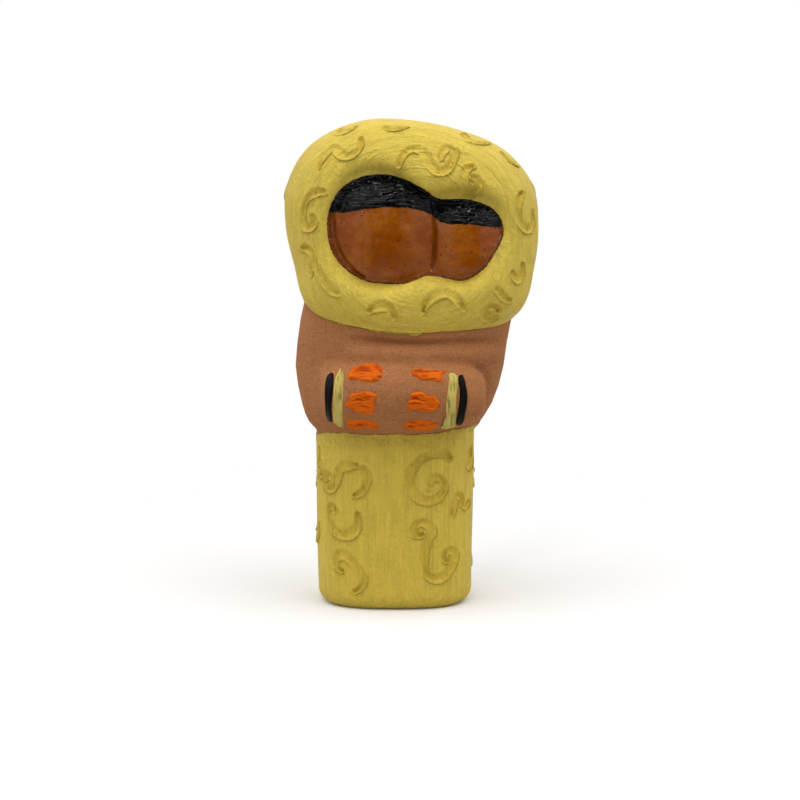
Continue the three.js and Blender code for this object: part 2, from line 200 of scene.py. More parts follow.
def skirt_field(p):
    x, y, z = p
    inset = SKIRT_TAPER * np.clip(1 - z / SKIRT_HEIGHT, 0, 1)
    a, b = SKIRT_WIDTH / 2 - inset, SKIRT_DEPTH / 2 - inset
    share = (np.abs(x / a) ** SKIRT_POWER + np.abs(y / b) ** SKIRT_POWER) ** (1 / SKIRT_POWER)
    side = np.hypot(x, y) * grown(share) + FOOT_ROUNDING
    foot = FOOT_ROUNDING - z
    rounded = np.hypot(np.maximum(side, 0), np.maximum(foot, 0)) + np.minimum(np.maximum(side, foot), 0)
    return np.maximum(rounded - FOOT_ROUNDING, z - SKIRT_HEIGHT * SKIRT_TOP_SHARE)


def body_field(p):
    x, y, z = p
    at = (z - SKIRT_HEIGHT) / BODY_HEIGHT
    left, right, deep = (np.interp(at, BODY_AT, shares) for shares in (BODY_LEFT, BODY_RIGHT, BODY_DEEP))
    half = BODY_WIDTH / 2
    middle = half * (right - left) / 2
    a, b = half * (right + left) / 2, BODY_DEPTH / 2 * deep
    share = (np.abs((x - middle) / a) ** BODY_POWER + np.abs(y / b) ** BODY_POWER) ** (1 / BODY_POWER)
    ends = np.maximum(BODY_AT[0] - at, at - BODY_AT[-1]) * BODY_HEIGHT
    return np.maximum(np.hypot(x - middle, y) * grown(share), ends)


def roll_field(p, centre, size, round_power, end_power):
    """A rounded roll lying along X."""
    x, y, z = (p[i] - centre[i] for i in range(3))
    a, b, c = size / 2
    around = (np.abs(y / b) ** round_power + np.abs(z / c) ** round_power) ** (end_power / round_power)
    share = (np.abs(x / a) ** end_power + around) ** (1 / end_power)
    return np.sqrt(x * x + y * y + z * z) * grown(share)


def fold_field(p):
    """A roll that is bent round the front of the body."""
    x, y, z = p
    across = np.minimum(1, np.abs(x - FOLD_ACROSS) / (BODY_WIDTH / 2))
    front = BODY_DEPTH / 2 * (1 - across ** BODY_POWER) ** (1 / BODY_POWER)
    straightened = y - FOLD_SIZE[1] / 2 + FOLD_STAND_OUT + front
    return roll_field((x, straightened, z), FOLD_CENTRE, FOLD_SIZE, *FOLD_POWERS)


arms_tip = ARMS_CENTRE - (0, ARMS_SIZE[1] / 2, 0)
off_zero = float(roll_field(arms_tip, ARMS_CENTRE, ARMS_SIZE, *ARMS_POWERS))
print("the tip of the arms lies", round(off_zero, 3), "mm off the field's zero")

# %% [markdown]
# The hood is a cushion that is squarer below, pulled into its egg-like outline by the ring of
# reaches. Its opening is cut in with a flat floor and walls that narrow inwards, as a mould needs
# them to come free. The two heads are pebbles, each more than half sunk in that floor.

# %% Describe the hood, its opening and the heads
OPENING_WALL_STEEPNESS = 0.85
OPENING_FLOOR_ROUNDING = 1.5


def hood_field(p):
    x, y, z = (p[i] - HOOD_CENTRE[i] for i in range(3))
    u, v = x / (HOOD_SIZE[0] / 2), z / (HOOD_SIZE[2] / 2)
    angle = np.arctan2(v, u)
    power = HOOD_POWER + HOOD_SQUARER_BELOW * np.maximum(0, -np.sin(angle)) ** 2
    out = np.hypot(u, v) / ring_value(HOOD_REACH, angle)
    share = (out ** power + np.abs(y / (HOOD_SIZE[1] / 2)) ** power) ** (1 / power)
    return np.sqrt(x * x + y * y + z * z) * grown(share)


def opening_field(p):
    """The hollow that is cut out of the hood, below zero inside it."""
    x, z = p[0] - OPENING_CENTRE[0], p[2] - OPENING_CENTRE[2]
    y = p[1] - HOOD_FRONT
    angle = np.arctan2(z, x)
    edge = np.hypot(OPENING_SIZE[0] / 2 * np.cos(angle), OPENING_SIZE[2] / 2 * np.sin(angle))
    edge = edge * ring_value(OPENING_REACH, angle)
    slant = OPENING_NARROWING * (y / OPENING_FLOOR - 0.5)
    wall = (np.hypot(x, z) - edge + slant) * OPENING_WALL_STEEPNESS
    return soft_cut(wall, OPENING_FLOOR - y, OPENING_FLOOR_ROUNDING)


def head_field(p, head):
    half = head["size"] / 2
    flat, deep = HEAD_POWERS
    centre = OPENING_CENTRE + (head["across"] * OPENING_SIZE[0] / 2, 0, head["up"] * OPENING_SIZE[2] / 2)
    x, z = p[0] - centre[0], p[2] - centre[2]
    y = p[1] - (HOOD_FRONT + head["stand_back"] + half[1])
    across = (np.abs(x / half[0]) ** flat + np.abs(z / half[2]) ** flat) ** (1 / flat)
    share = (across ** deep + np.abs(y / half[1]) ** deep) ** (1 / deep)
    return np.sqrt(x * x + y * y + z * z) * grown(share)


behind_front = HOOD_CENTRE + (0, HOOD_FRONT + 1, 0)
print("1 mm behind the hood's front its field reads", round(float(hood_field(behind_front)), 2), "mm")

# %% [markdown]
# ## One figure from the forms
# The body, the arms and the fold above them melt together softly, the hood sits on them with a
# tighter crease, and the glazed heads with a crease of their own. A slow wobble of a tenth or two of
# a millimetre keeps the forms from looking turned on a machine.

# %% Melt the forms into one
# how softly each form melts into what carries it, in millimetres
SKIRT_MELTS, FOLD_MELTS, HOOD_MELTS = 1.2, 1.6, 0.9
ARMS_MELT_LEFT, ARMS_MELT_LESS_RIGHT = 4.5, 3.3
HEADS_MELT_TOGETHER, HEADS_MELT = 0.6, 0.7
OPENING_EDGE_BELOW = 0.5
SHAWL_CREASE_HEIGHT, SHAWL_CREASE_WIDTH = 71.5, 1.25
PAINT_ROOM = 0.1
ROOM_STARTS = 6


def bare_forms(p):
    """The forms below the hood, and the hood with its opening and heads."""
    arms = roll_field(p, ARMS_CENTRE, ARMS_SIZE, *ARMS_POWERS)
    rightwards = np.clip(0.55 + p[0] / 40, 0, 1)
    creases = ARMS_CREASE * rightwards * np.exp(-(arms / 1.5) ** 2)
    lower = soft_union(skirt_field(p), body_field(p) + creases, SKIRT_MELTS)
    lower = soft_union(lower, fold_field(p), FOLD_MELTS)
    lower = soft_union(lower, arms, ARMS_MELT_LEFT - ARMS_MELT_LESS_RIGHT * rightwards)
    opening = opening_field(p)
    upper = soft_cut(hood_field(p), opening, RIM_ROUNDING)
    lower = soft_cut(lower, opening, OPENING_EDGE_BELOW)
    heads = soft_union(head_field(p, MOTHER), head_field(p, CHILD), HEADS_MELT_TOGETHER)
    return lower, soft_union(upper, heads, HEADS_MELT)


def shawl_crease(p):
    """How deep the crease between the hood and the fold is, across the front."""
    x, y, z = p
    height = SHAWL_CREASE_HEIGHT + 0.002 * (x - 12) ** 2
    across = smooth_step(-15, -3, x) * (1 - smooth_step(20, 31, x)) * smooth_step(-8, -14, y)
    return FOLD_CREASE * np.exp(-((z - height) / SHAWL_CREASE_WIDTH) ** 2) * across


def wobble(p):
    x, y, z = p
    slow = np.sin(0.21 * x + 0.13 * z + 1) + np.sin(0.17 * z - 0.23 * y) + np.sin(0.31 * y + 0.11 * x + 2)
    return 0.06 * slow * np.clip(z / ROOM_STARTS, 0, 1)


def figure_field(p):
    """The whole figure, drawn in a little above the foot so that the paint has room on it."""
    lower, upper = bare_forms(p)
    drawn_in = PAINT_ROOM * np.clip(p[2] / ROOM_STARTS, 0, 1)
    return soft_union(lower, upper, HOOD_MELTS) + shawl_crease(p) + wobble(p) + drawn_in


melted = [round(float(part), 1) for part in bare_forms(arms_tip)]
print("at the tip of the arms the lower and the upper forms read", melted, "mm")

# %% [markdown]
# ## From the field to a skin
# Blender has no ready node for such a field, so the skin is made here as a surface net: in a grid of
# small cubes, each cube that the surface passes through gets one vertex, where the surface crosses
# its edges on average, and each crossed edge of the grid gets one four-sided face.

# %% Make a surface net
GRID_STEP = 1.0
MARGIN = 2.0


def surface_net(field, origin, step):
    """The points and the four-sided faces of the surface where the field passes through zero."""
    inside = field < 0
    cells = tuple(n - 1 for n in field.shape)
    corners = [np.array((i, j, k)) for i in (0, 1) for j in (0, 1) for k in (0, 1)]
    count = sum(
        inside[i:i + cells[0], j:j + cells[1], k:k + cells[2]].astype(np.uint8) for i, j, k in corners
    )
    active = np.argwhere((count > 0) & (count < 8))
    number = np.full(cells, -1)
    number[tuple(active.T)] = np.arange(len(active))
    total, hits = np.zeros((len(active), 3)), np.zeros(len(active))
    for a in corners:
        for axis in np.flatnonzero(a == 0):
            along = np.eye(3, dtype=int)[axis]
            va, vb = field[tuple((active + a).T)], field[tuple((active + a + along).T)]
            crossed = (va < 0) != (vb < 0)
            share = va[crossed] / (va[crossed] - vb[crossed])
            total[crossed] += a + share[:, None] * along
            hits[crossed] += 1
    points = origin + (active + total / hits[:, None]) * step
    faces = []
    for axis in range(3):
        along, u, v = (np.eye(3, dtype=int)[(axis + k) % 3] for k in range(3))
        start = np.take(inside, range(cells[axis]), axis)
        end = np.take(inside, range(1, cells[axis] + 1), axis)
        edge = np.argwhere(start != end)
        ring = np.stack([number[tuple((edge - back).T)] for back in (0 * u, u, u + v, v)], 1)
        leaving = start[tuple(edge.T)]
        faces.append(np.where(leaving[:, None], ring, ring[:, ::-1]))
    return points, np.concatenate(faces)


grid_low = low - MARGIN
axes = [np.arange(grid_low[i], high[i] + MARGIN, GRID_STEP) for i in range(3)]
grid = np.meshgrid(*axes, indexing="ij")
points, quads = surface_net(figure_field(grid), grid_low, GRID_STEP)
print("the net has", len(points), "points and", len(quads), "faces")

# %% [markdown]
# The net is rough, because its points sit where the grid happens to cut. Two moves, taken in turn,
# make it even: each point goes to the middle of its neighbours, which spreads the points, and then
# back onto the field's zero along the field's slope, which keeps the form.

# %% Even out the net
SLOPE_REACH = 0.04
LONGEST_MOVE = 0.4
MIDDLE_SHARE = 0.6


def slope(points):
    """The field's slope at each point, from its values a little to either side."""
    shifts = SLOPE_REACH * np.eye(3)[:, :, None]
    rises = [figure_field(points.T + shift) - figure_field(points.T - shift) for shift in shifts]
    return np.stack(rises, 1) / (2 * SLOPE_REACH)


def settled(points):
    """The points moved onto the field's zero, as far as one step takes them."""
    steepest = slope(points)
    step = figure_field(points.T)[:, None] * steepest / (steepest ** 2).sum(1, keepdims=True)
    return points - np.clip(step, -LONGEST_MOVE, LONGEST_MOVE)


def neighbours_middle(points, faces):
    starts, ends = faces.ravel(), np.roll(faces, -1, 1).ravel()
    starts, ends = np.concatenate([starts, ends]), np.concatenate([ends, starts])
    count = np.bincount(starts, minlength=len(points))
    sums = [np.bincount(starts, points[ends, i], len(points)) for i in range(3)]
    return np.stack(sums, 1) / count[:, None]


for _ in range(3):
    middles = neighbours_middle(points, quads)
    points = settled((1 - MIDDLE_SHARE) * points + MIDDLE_SHARE * middles)
sides = np.sort(np.stack([quads, np.roll(quads, -1, 1)], 2).reshape(-1, 2), axis=1)
uses = np.unique(sides, axis=0, return_counts=True)[1]
furthest = float(np.abs(figure_field(points.T)).max())
print("the points lie within", round(furthest, 3), "mm of the surface")
print((uses != 2).sum(), "edges don't lie between two faces")

# %% [markdown]
# ## The scrolls
# The scrolls were pressed into the soft clay with a round-ended tool. Each one is a start, a heading
# and a chain of arcs, given as radius and sweep, as a hand draws it. It is drawn on a plane that
# touches the clay at its start and dropped onto the skin point by point, with a ray for each.

# %% List the scrolls
# the side it faces, its start across and up the form as shares, its heading, and its arcs, whose
# radii are hundredths of the form's width; all angles are degrees
SKIRT_SCROLLS = [
    (0, -0.48, 0.82, 175, [(21, 22), (4.7, 62), (32, -20), (3.5, -160), (9, -20), (2.6, -140)]),
    (0, -0.38, 0.8, -60, [(11.6, -98)]),
    (0, -0.74, 0.56, 100, [(2.6, 170), (28, 12), (11.4, 75), (9, 85), (23, 15)]),
    (0, -0.66, 0.22, 170, [(5.3, -210), (37, -22), (7.4, -80), (18, -8)]),
    (0, 0.69, 0.855, 125, [(11, 70), (21, 45), (12.8, 50), (16, 35), (9.8, 110), (5.8, 110), (3.5, 130)]),
    (0, 0.71, 0.54, 82, [(46, -12), (2.8, -150), (23, 10), (2.6, 140)]),
    (0, 0.335, 0.433, 200,
     [(4, -180), (7, -60), (4.7, -80), (30, 45), (7.7, 115), (21, 35), (3.7, 195), (2.8, 80)]),
    (70, 0.07, 0.9, -65, [(11.6, -50), (3.7, -150), (7, -60)]),
    (-70, -0.02, 0.885, 255, [(8.4, 70), (4, -150)]),
    (-70, -0.05, 0.45, 290, [(7, -110), (3.5, -150)]),
]
HOOD_SCROLLS = [
    (0, -0.71, 0.55, 85, [(11.8, -40), (1.9, -95), (18, 8), (4.3, 122), (5.9, 35)]),
    (0, -0.57, 0.89, -70, [(3.3, 75), (4.1, 65)]),
    (0, -0.195, 0.91, -35, [(4.7, 45), (13, 18)]),
    (0, -0.1, 0.57, 80, [(8.9, -25), (5, -116), (30, 10), (3.8, 115), (12, 20), (2.2, 138), (4.4, 45)]),
    (0, 0.455, 0.55, 190, [(4.4, 75), (6.7, 25), (3, 90), (2.4, 90), (1.8, 70)]),
    (0, 0.395, 0.85, 255, [(3.8, 75), (6.7, 50), (5.9, 20)]),
    (0, 0.7, 0.67, -60, [(10.4, 30), (4.4, 20)]),
    (0, 0.845, 0.307, 218, [(8, 55), (7.4, 62), (3.6, 110), (9, 20)]),
    (0, 0.775, -0.44, -60, [(6, 20), (1.8, 105), (9, 25)]),
    (0, 0.657, -0.59, -40, [(24, -8), (7.4, 30)]),
    (0, 0.663, -0.795, 100, [(2.8, 300)]),
    (0, 0.086, -0.787, 85, [(8, -60), (7.1, -75), (18, -14)]),
    (0, -0.322, -0.78, 48, [(6.7, -48), (3.8, -75), (15, -8)]),
    (0, -0.678, 0.32, 172, [(6.8, 80), (30, 12), (2.4, 190), (4.4, 15)]),
    (0, -0.846, -0.206, 18, [(4.7, -90), (4.1, -55), (4.4, 35)]),
    (0, -0.74, -0.343, -62, [(44, 15), (9, 20)]),
]
BACK_MOTIFS = [
    [(2.6, 170), (8, 100), (16, 25)],
    [(8.4, -120), (5.2, -150)],
    [(2.8, -180), (11, 60), (5.8, 100)],
]


def back_scrolls(faces, levels):
    """The sides and the back carry three simple scrolls over and over, in staggered rings."""
    return [
        (face + 8 * ring, 0, up, 100 + 67 * i + 140 * ring, BACK_MOTIFS[(i + ring) % 3])
        for ring, up in enumerate(levels)
        for i, face in enumerate(faces)
    ]


SKIRT_SCROLLS += back_scrolls([99, 148, 197, 240], [0.27, 0.7])
HOOD_SCROLLS += back_scrolls([104, 150, 196, 242], [-0.4, 0.38])
print(len(SKIRT_SCROLLS), "scrolls on the skirt and", len(HOOD_SCROLLS), "on the hood")

# %% [markdown]
# A plane that faced the viewer would stretch the scrolls near the figure's sides, and one that lay
# flat on the clay would bend them too far round, so the plane is tilted part of the way.

# %% Lay the scrolls on the clay
TOOL_STEP = 0.3
TOOL_TILT = 0.65
FAR_OUT = 200


def arc_chain(heading, arcs, unit):
    """Points and headings along a chain of arcs from (0, 0), a tool step apart."""
    angle, at, drawn = math.radians(heading), np.zeros(2), []
    for size, sweep in arcs:
        radius, whole = size * unit, math.radians(sweep)
        count = max(2, math.ceil(radius * abs(whole) / TOOL_STEP))
        for _ in range(count):
            drawn.append(at.copy())
            chord = 2 * radius * math.sin(abs(whole) / count / 2)
            halfway = angle + whole / count / 2
            at += chord * np.array([math.cos(halfway), math.sin(halfway)])
            angle += whole / count
    return drawn + [at]


def drop(skin, over, direction):
    """Where a ray that comes in from far out, over a point, meets the skin."""
    place, normal, _, _ = skin.ray_cast(Vector(over + FAR_OUT * direction), Vector(-direction))
    return np.array(place), np.array(normal)


def lay_scroll(skin, centre, width, rise, scroll):
    face, across, up, heading, arcs = scroll
    face = math.radians(face)
    side = np.array([math.sin(face), -math.cos(face), 0])
    side_right = np.array([math.cos(face), math.sin(face), 0])
    start, normal = drop(skin, centre + across * width / 2 * side_right + (0, 0, up * rise), side)
    out = side + TOOL_TILT * (normal - side)
    out /= np.linalg.norm(out)
    right = np.cross((0, 0, 1), out)
    right /= np.linalg.norm(right)
    upward = np.cross(out, right)
    flat = arc_chain(heading, arcs, width / 100)
    return [drop(skin, start + x * right + y * upward, out) for x, y in flat]


skin = BVHTree.FromPolygons(points.tolist(), quads.tolist())
paths = [lay_scroll(skin, np.zeros(3), SKIRT_WIDTH, SKIRT_HEIGHT, s) for s in SKIRT_SCROLLS]
paths += [lay_scroll(skin, HOOD_CENTRE, HOOD_SIZE[0], HOOD_SIZE[2] / 2, s) for s in HOOD_SCROLLS]
print(sum(len(path) for path in paths), "tool marks in", len(paths), "scrolls")

# %% [markdown]
# A tool never presses evenly, so its width and depth drift along each scroll, and it digs in where
# it starts. Each mark keeps its place and direction, so that a point of the clay can tell later how
# far it is from the nearest mark, and whether it lies on the side that the tool slants away from.

# %% Press unevenly
TOOL_HALF_WIDTH = 1.12
TOOL_DEPTH = 0.64
TOOL_SLANT = np.array([0.5, 0, -0.87])
marks = {name: [] for name in ("place", "along", "half", "depth")}
for number, path in enumerate(paths):
    place = np.array([place for place, _ in path])
    along = np.gradient(place, axis=0)
    along /= np.linalg.norm(along, axis=1, keepdims=True)
    travelled = np.arange(len(path)) * TOOL_STEP
    from_end = np.minimum(travelled, travelled[-1] - travelled)
    drift = np.sin(travelled / 3.1 + number * 1.7) + 0.6 * np.sin(travelled / 1.3 + number)
    ends = np.clip(from_end / 2.2, 0, 1)
    marks["place"].append(place)
    marks["along"].append(along)
    dug_in = np.exp(-(travelled / 1.4) ** 2) + 0.6 * np.exp(-((travelled[-1] - travelled) / 1.2) ** 2)
    marks["half"].append(TOOL_HALF_WIDTH * (1 + 0.13 * drift) * (0.72 + 0.28 * ends))
    marks["depth"].append(TOOL_DEPTH * (1 - 0.2 * drift) * (0.7 + 0.3 * ends + 0.8 * dug_in))
marks = {name: np.concatenate(values) for name, values in marks.items()}
nearest_mark = KDTree(len(marks["place"]))
for index, place in enumerate(marks["place"]):
    nearest_mark.insert(place, index)
nearest_mark.balance()
narrowest, widest = (round(2 * float(half), 2) for half in (marks["half"].min(), marks["half"].max()))
print("the tool is", narrowest, "to", widest, "mm wide")


def from_scroll(points):
    """How far each point is from the nearest mark, in millimetres, how far down the slant, and
    which mark that is."""
    found = np.array([nearest_mark.find(p)[1] for p in points])
    away = points - marks["place"][found]
    beside = (away * marks["along"][found]).sum(1)
    beside -= np.clip(beside, -TOOL_STEP / 2, TOOL_STEP / 2)
    straight = away - (away * marks["along"][found]).sum(1, keepdims=True) * marks["along"][found]
    distance = np.hypot(np.linalg.norm(straight, axis=1), beside)
    slant = (straight @ TOOL_SLANT) / np.maximum(distance, 0.3)
    return distance, slant, found


# %% [markdown]
# ## Where each finish lies
# The hood and the skirt are yellow, the middle is bare clay, and inside the opening the heads are
# glazed honey brown below and painted black above for the hair. Each border is a measure in
# millimetres, above zero inside its finish, stored on the points. A shader can turn such a measure
# into a crisp or a ragged edge, which a hard mask of points can't do.

# %% Measure the borders
# reaches of the painted rim from the middle of the opening, every fifteen degrees from the right
RIM_LINE = [
    22.7, 21.1, 16.2, 11.7, 10.1, 10.8, 12.0, 14.2, 16.9, 19.8, 22.2, 23.1,
    22.9, 22.2, 20.4, 18.1, 15.5, 14.1, 12.5, 11.9, 13.6, 17.7, 19.8, 21.2,
]
HAIR_ACROSS = [-16.9, -12.8, -8.9, -2.5, 1.4, 5.3, 7.8, 10.4, 11.7, 14.3, 19.5, 24.6, 28.3]
HAIR_UP = [106.0, 105.8, 106.5, 107.3, 107.1, 106.8, 106.0, 104.8, 103.5, 103.0, 102.7, 102.2, 102.2]
# height of the skirt's paint edge, every forty-five degrees from the right
SKIRT_EDGE = [49.4, 48.5, 48.0, 47.0, 46.4, 47.8, 47.7, 48.6]
DRIP_AT, DRIP_WIDTH, DRIP_LENGTH = 5.3, 1.7, 0.55
FRONT_ONLY = -8


def borders(points):
    x, y, z = points.T
    lower, upper = bare_forms(points.T)
    angle = np.arctan2(y, x)
    wave = 0.25 * np.sin(3 * angle + 1) + 0.2 * np.sin(7 * angle) + 0.12 * np.sin(17 * angle + 2)
    drip = DRIP_LENGTH * np.exp(-((x - DRIP_AT) / DRIP_WIDTH) ** 4) * (y < 0)
    hood = lower - upper + 0.15 + 0.6 * wave + drip
    ox, oz = x - OPENING_CENTRE[0], z - OPENING_CENTRE[2]
    opening = (ring_value(RIM_LINE, np.arctan2(oz, ox)) - np.hypot(ox, oz)) * 0.85
    opening = np.where(y < FRONT_ONLY, opening, -5)
    skirt = ring_value(SKIRT_EDGE, angle) + 0.8 * wave - z
    yellow = np.maximum(np.minimum(hood, -opening), skirt)
    hair = np.minimum(z - np.interp(x, HAIR_ACROSS, HAIR_UP), opening)
    return {"yellow": yellow, "opening": opening, "hair": hair}


# %% [markdown]
# ## Dark lines beside the heads
# Between the two heads, and between the larger one and the rim, the clay is drawn in to a narrow
# groove where the glaze ran together. Each groove is a chain of points seen from the front, and the
# nearest of its pieces gives a point's distance, so the groove can be pressed and tinted by it.

# %% Measure the grooves beside the heads
GROOVE_LINES = [
    [(9.6, 109.0), (10.2, 105.5), (10.6, 101.3), (10.4, 97.4), (10.2, 94.0), (9.7, 91.4)],
    [(-15.8, 107.4), (-15.7, 103.4), (-15.4, 99.5), (-14.3, 95.8), (-12.5, 93.0), (-10.1, 90.6),
     (-7.9, 89.2)],
]
GROOVE_HALF_WIDTH, GROOVE_DEPTH = 0.42, 0.5


def from_groove(points):
    """How far each point is from the nearest groove, seen from the front."""
    flat, nearest = points[:, [0, 2]], np.full(len(points), np.inf)
    for line in map(np.array, GROOVE_LINES):
        for start, along in zip(line, np.diff(line, axis=0)):
            share = np.clip((flat - start) @ along / (along @ along), 0, 1)
            away = np.linalg.norm(flat - start - share[:, None] * along, axis=1)
            nearest = np.minimum(nearest, away)
    return nearest


groove_lengths = [np.linalg.norm(np.diff(line, axis=0), axis=1).sum() for line in GROOVE_LINES]
print("the grooves run", np.round(groove_lengths, 1), "mm")

# %% [markdown]
# ## More points where the detail is
# A fine net all over would be heavy. So only the faces near a scroll, a painted border or the heads
# are cut in four, and those right on a scroll, a border or a groove once more. After each cut the new
# points are settled onto the surface again.

# %% Refine the net near detail
FIRST_REACH, SECOND_REACH = 1.2, 0.3
COARSE_BELOW = 1


def refine(points, faces, wanted):
    """Cuts the wanted faces in four. Faces beside them get extra corners, so nothing comes apart."""
    cells = bmesh.new()
    corners = [cells.verts.new(p) for p in points]
    for face in faces:
        cells.faces.new([corners[i] for i in face])
    cells.faces.ensure_lookup_table()
    edges = {e for i in np.flatnonzero(wanted) for e in cells.faces[i].edges}
    bmesh.ops.subdivide_edges(cells, edges=list(edges), cuts=1, use_grid_fill=True)
    bmesh.ops.triangulate(cells, faces=[f for f in cells.faces if len(f.verts) > 4])
    cells.verts.index_update()
    points = np.array([v.co for v in cells.verts])
    faces = [[v.index for v in f.verts] for f in cells.faces]
    cells.free()
    return points, faces


def near_detail(points, faces, reach):
    """Which faces lie within a reach, in millimetres, of a scroll, a border or a groove."""
    middle = np.array([points[face].mean(0) for face in faces])
    border = borders(middle)
    near = from_scroll(middle)[0] < TOOL_HALF_WIDTH + reach
    near |= (np.abs(border["yellow"]) < reach) | (np.abs(border["opening"]) < reach)
    near |= (np.abs(border["hair"]) < reach) & (border["opening"] > 0)
    near |= (from_groove(middle) < GROOVE_HALF_WIDTH + reach) & (border["opening"] > 0)
    if reach == FIRST_REACH:
        near |= border["opening"] > -reach
    return near & (middle[:, 2] > COARSE_BELOW)


faces = quads.tolist()
for reach in (FIRST_REACH, SECOND_REACH):
    points, faces = refine(points, faces, near_detail(points, faces, reach))
    points = settled(settled(points))
    print(sum(len(face) - 2 for face in faces), "triangles with detail", reach, "mm around the marks")

# %% [markdown]
# ## Press the scrolls and lay on the paint
# Now every point moves along its own normal: down where the tool went, up a little on the lips that
# it pushed out, and up by the thickness of the paint. Paint is thick here, so its borders show as
# small steps with a bead along them, and the black of the hair is thickest. The glaze is thin, but it
# ran down before it set, and stands in a bead of its own along the lower rim.

# %% Move the points
LIP_HEIGHT, LIP_AT, LIP_WIDTH = 0.5, 1.22, 0.21
PAINT_THICKNESS, PAINT_BEAD = 0.2, 0.07
HAIR_THICKNESS = 0.35
GLAZE_THICKNESS, GLAZE_BEAD = 0.08, 0.22

normals = slope(points)
normals /= np.linalg.norm(normals, axis=1, keepdims=True)
distance, slant, found = from_scroll(points)
distance /= marks["half"][found]
steep = smooth_step(-0.8, 0.8, slant)
pressed = 1 - smooth_step(0.1 + 0.4 * steep, 1.2 - 0.25 * steep, distance)
lip = np.exp(-((distance - LIP_AT) / LIP_WIDTH) ** 2) * (0.12 + 0.88 * smooth_step(-0.2, 0.7, slant))
border = borders(points)
on_paint = smooth_step(-0.2, 0.5, border["yellow"])
paint_bead = np.exp(-((border["yellow"] - 0.45) / 0.35) ** 2)
inside = smooth_step(-0.1, 0.4, border["opening"])
hair = smooth_step(-0.15, 0.45, border["hair"]) * inside
low_rim = smooth_step(1, -5, points[:, 2] - OPENING_CENTRE[2])
glaze_bead = np.exp(-((border["opening"] - 0.5) / 0.3) ** 2) * low_rim
to_groove = from_groove(points)
groove = np.exp(-(to_groove / GROOVE_HALF_WIDTH) ** 2) * inside
height = on_paint * PAINT_THICKNESS + paint_bead * PAINT_BEAD + hair * HAIR_THICKNESS
height += inside * GLAZE_THICKNESS + glaze_bead * GLAZE_BEAD
height += LIP_HEIGHT * lip - marks["depth"][found] * pressed - GROOVE_DEPTH * groove
figure_points = points + normals * height[:, None]
# the foot stands on the plane, whatever the paint adds
figure_points[:, 2] = np.maximum(figure_points[:, 2], 0)
print("the relief goes from", round(float(height.min()), 2), "to", round(float(height.max()), 2), "mm")

# %% [markdown]
# A mesh can carry any number on its points, and a material can read it by name. The borders and the
# press of the tool go along like that. So do the strokes of the brush: on the hood the paint was
# brushed round the opening, so a stroke's own place is how far it is from the middle and its angle.

# %% Make the figure's mesh
BRUSH_SCALE = 30, 32
WORN_AND_SHADE, WORN_AND_SHADE_HEIGHT = 0.8, 3.2


def mesh_object(name, points, faces):
    mesh = bpy.data.meshes.new(name)
    mesh.from_pydata((np.asarray(points) * MM).tolist(), [], faces)
    mesh.polygons.foreach_set("use_smooth", [True] * len(mesh.polygons))
    thing = bpy.data.objects.new(name, mesh)
    bpy.context.collection.objects.link(thing)
    return thing


def carry(thing, name, values):
    """Stores a number or a vector on each point, under a name that a material can read."""
    values = np.asarray(values, np.float32)
    kind = "FLOAT" if values.ndim == 1 else "FLOAT_VECTOR"
    field = "value" if values.ndim == 1 else "vector"
    thing.data.attributes.new(name, kind, "POINT").data.foreach_set(field, values.ravel())


def hood_strokes(points):
    """Where a point lies for the brush: millimetres out from the opening's middle, and the angle."""
    away = points - OPENING_CENTRE
    away[:, 1] -= 6
    round_angle = np.arctan2(away[:, 2], away[:, 0])
    off_axis = np.arccos(np.clip(-away[:, 1] / np.linalg.norm(away, axis=1), -1, 1))
    along, across = BRUSH_SCALE
    return np.stack([off_axis * across, np.cos(round_angle) * along, np.sin(round_angle) * along], 1)


skirt_edge = ring_value(SKIRT_EDGE, np.arctan2(points[:, 1], points[:, 0]))
# a band just under the arms, at the front: scrubbed hatch marks there, and painted shade where the arms
# overhang the skirt
under_arms = np.exp(-((skirt_edge - points[:, 2]) / WORN_AND_SHADE_HEIGHT) ** 2)
lower, upper = bare_forms(points.T)
figure = mesh_object("santon_clay_and_paint", figure_points, faces)
carry(figure, "worn_and_shaded", WORN_AND_SHADE * under_arms * (points[:, 1] < 0) * (points[:, 2] < SKIRT_HEIGHT + 1))
carry(figure, "yellow", border["yellow"])
carry(figure, "opening", border["opening"])
carry(figure, "hair", border["hair"])
carry(figure, "from_mark", np.minimum(distance, 3))
carry(figure, "from_groove", np.minimum(to_groove, 3))
carry(figure, "lee", slant)
carry(figure, "hood_stroke", hood_strokes(points))
carry(figure, "on_hood", smooth_step(-1, 1, lower - upper))
print(figure.name, "has", len(figure.data.polygons), "faces")


# %% [markdown]
# ## Helpers for node trees
# Every finish here is a tree of nodes. These few helpers keep the trees readable: each makes a node,
# feeds its sockets with plain values or with other nodes' outputs, and hands back what it puts out.

# %% Build nodes in few words
def feed(tree, socket, value):
    if isinstance(value, bpy.types.NodeSocket):
        tree.links.new(value, socket)
    else:
        socket.default_value = value


def add(tree, kind, inputs=(), **settings):
    made = tree.nodes.new(kind)
    for name, value in settings.items():
        setattr(made, name, value)
    for name, value in dict(inputs).items():
        feed(tree, made.inputs[name], value)
    return made


def maths(tree, operation, *values):
    return add(tree, "ShaderNodeMath", enumerate(values), operation=operation).outputs[0]


def times(tree, *values):
    """The product of two or more numbers."""
    first, *rest = values
    for value in rest:
        first = maths(tree, "MULTIPLY", first, value)
    return first


def plus(tree, *values):
    """The sum of two or more numbers."""
    first, *rest = values
    for value in rest:
        first = maths(tree, "ADD", first, value)
    return first


def vector_maths(tree, operation, a, b):
    return add(tree, "ShaderNodeVectorMath", {0: a, 1: b}, operation=operation).outputs[0]


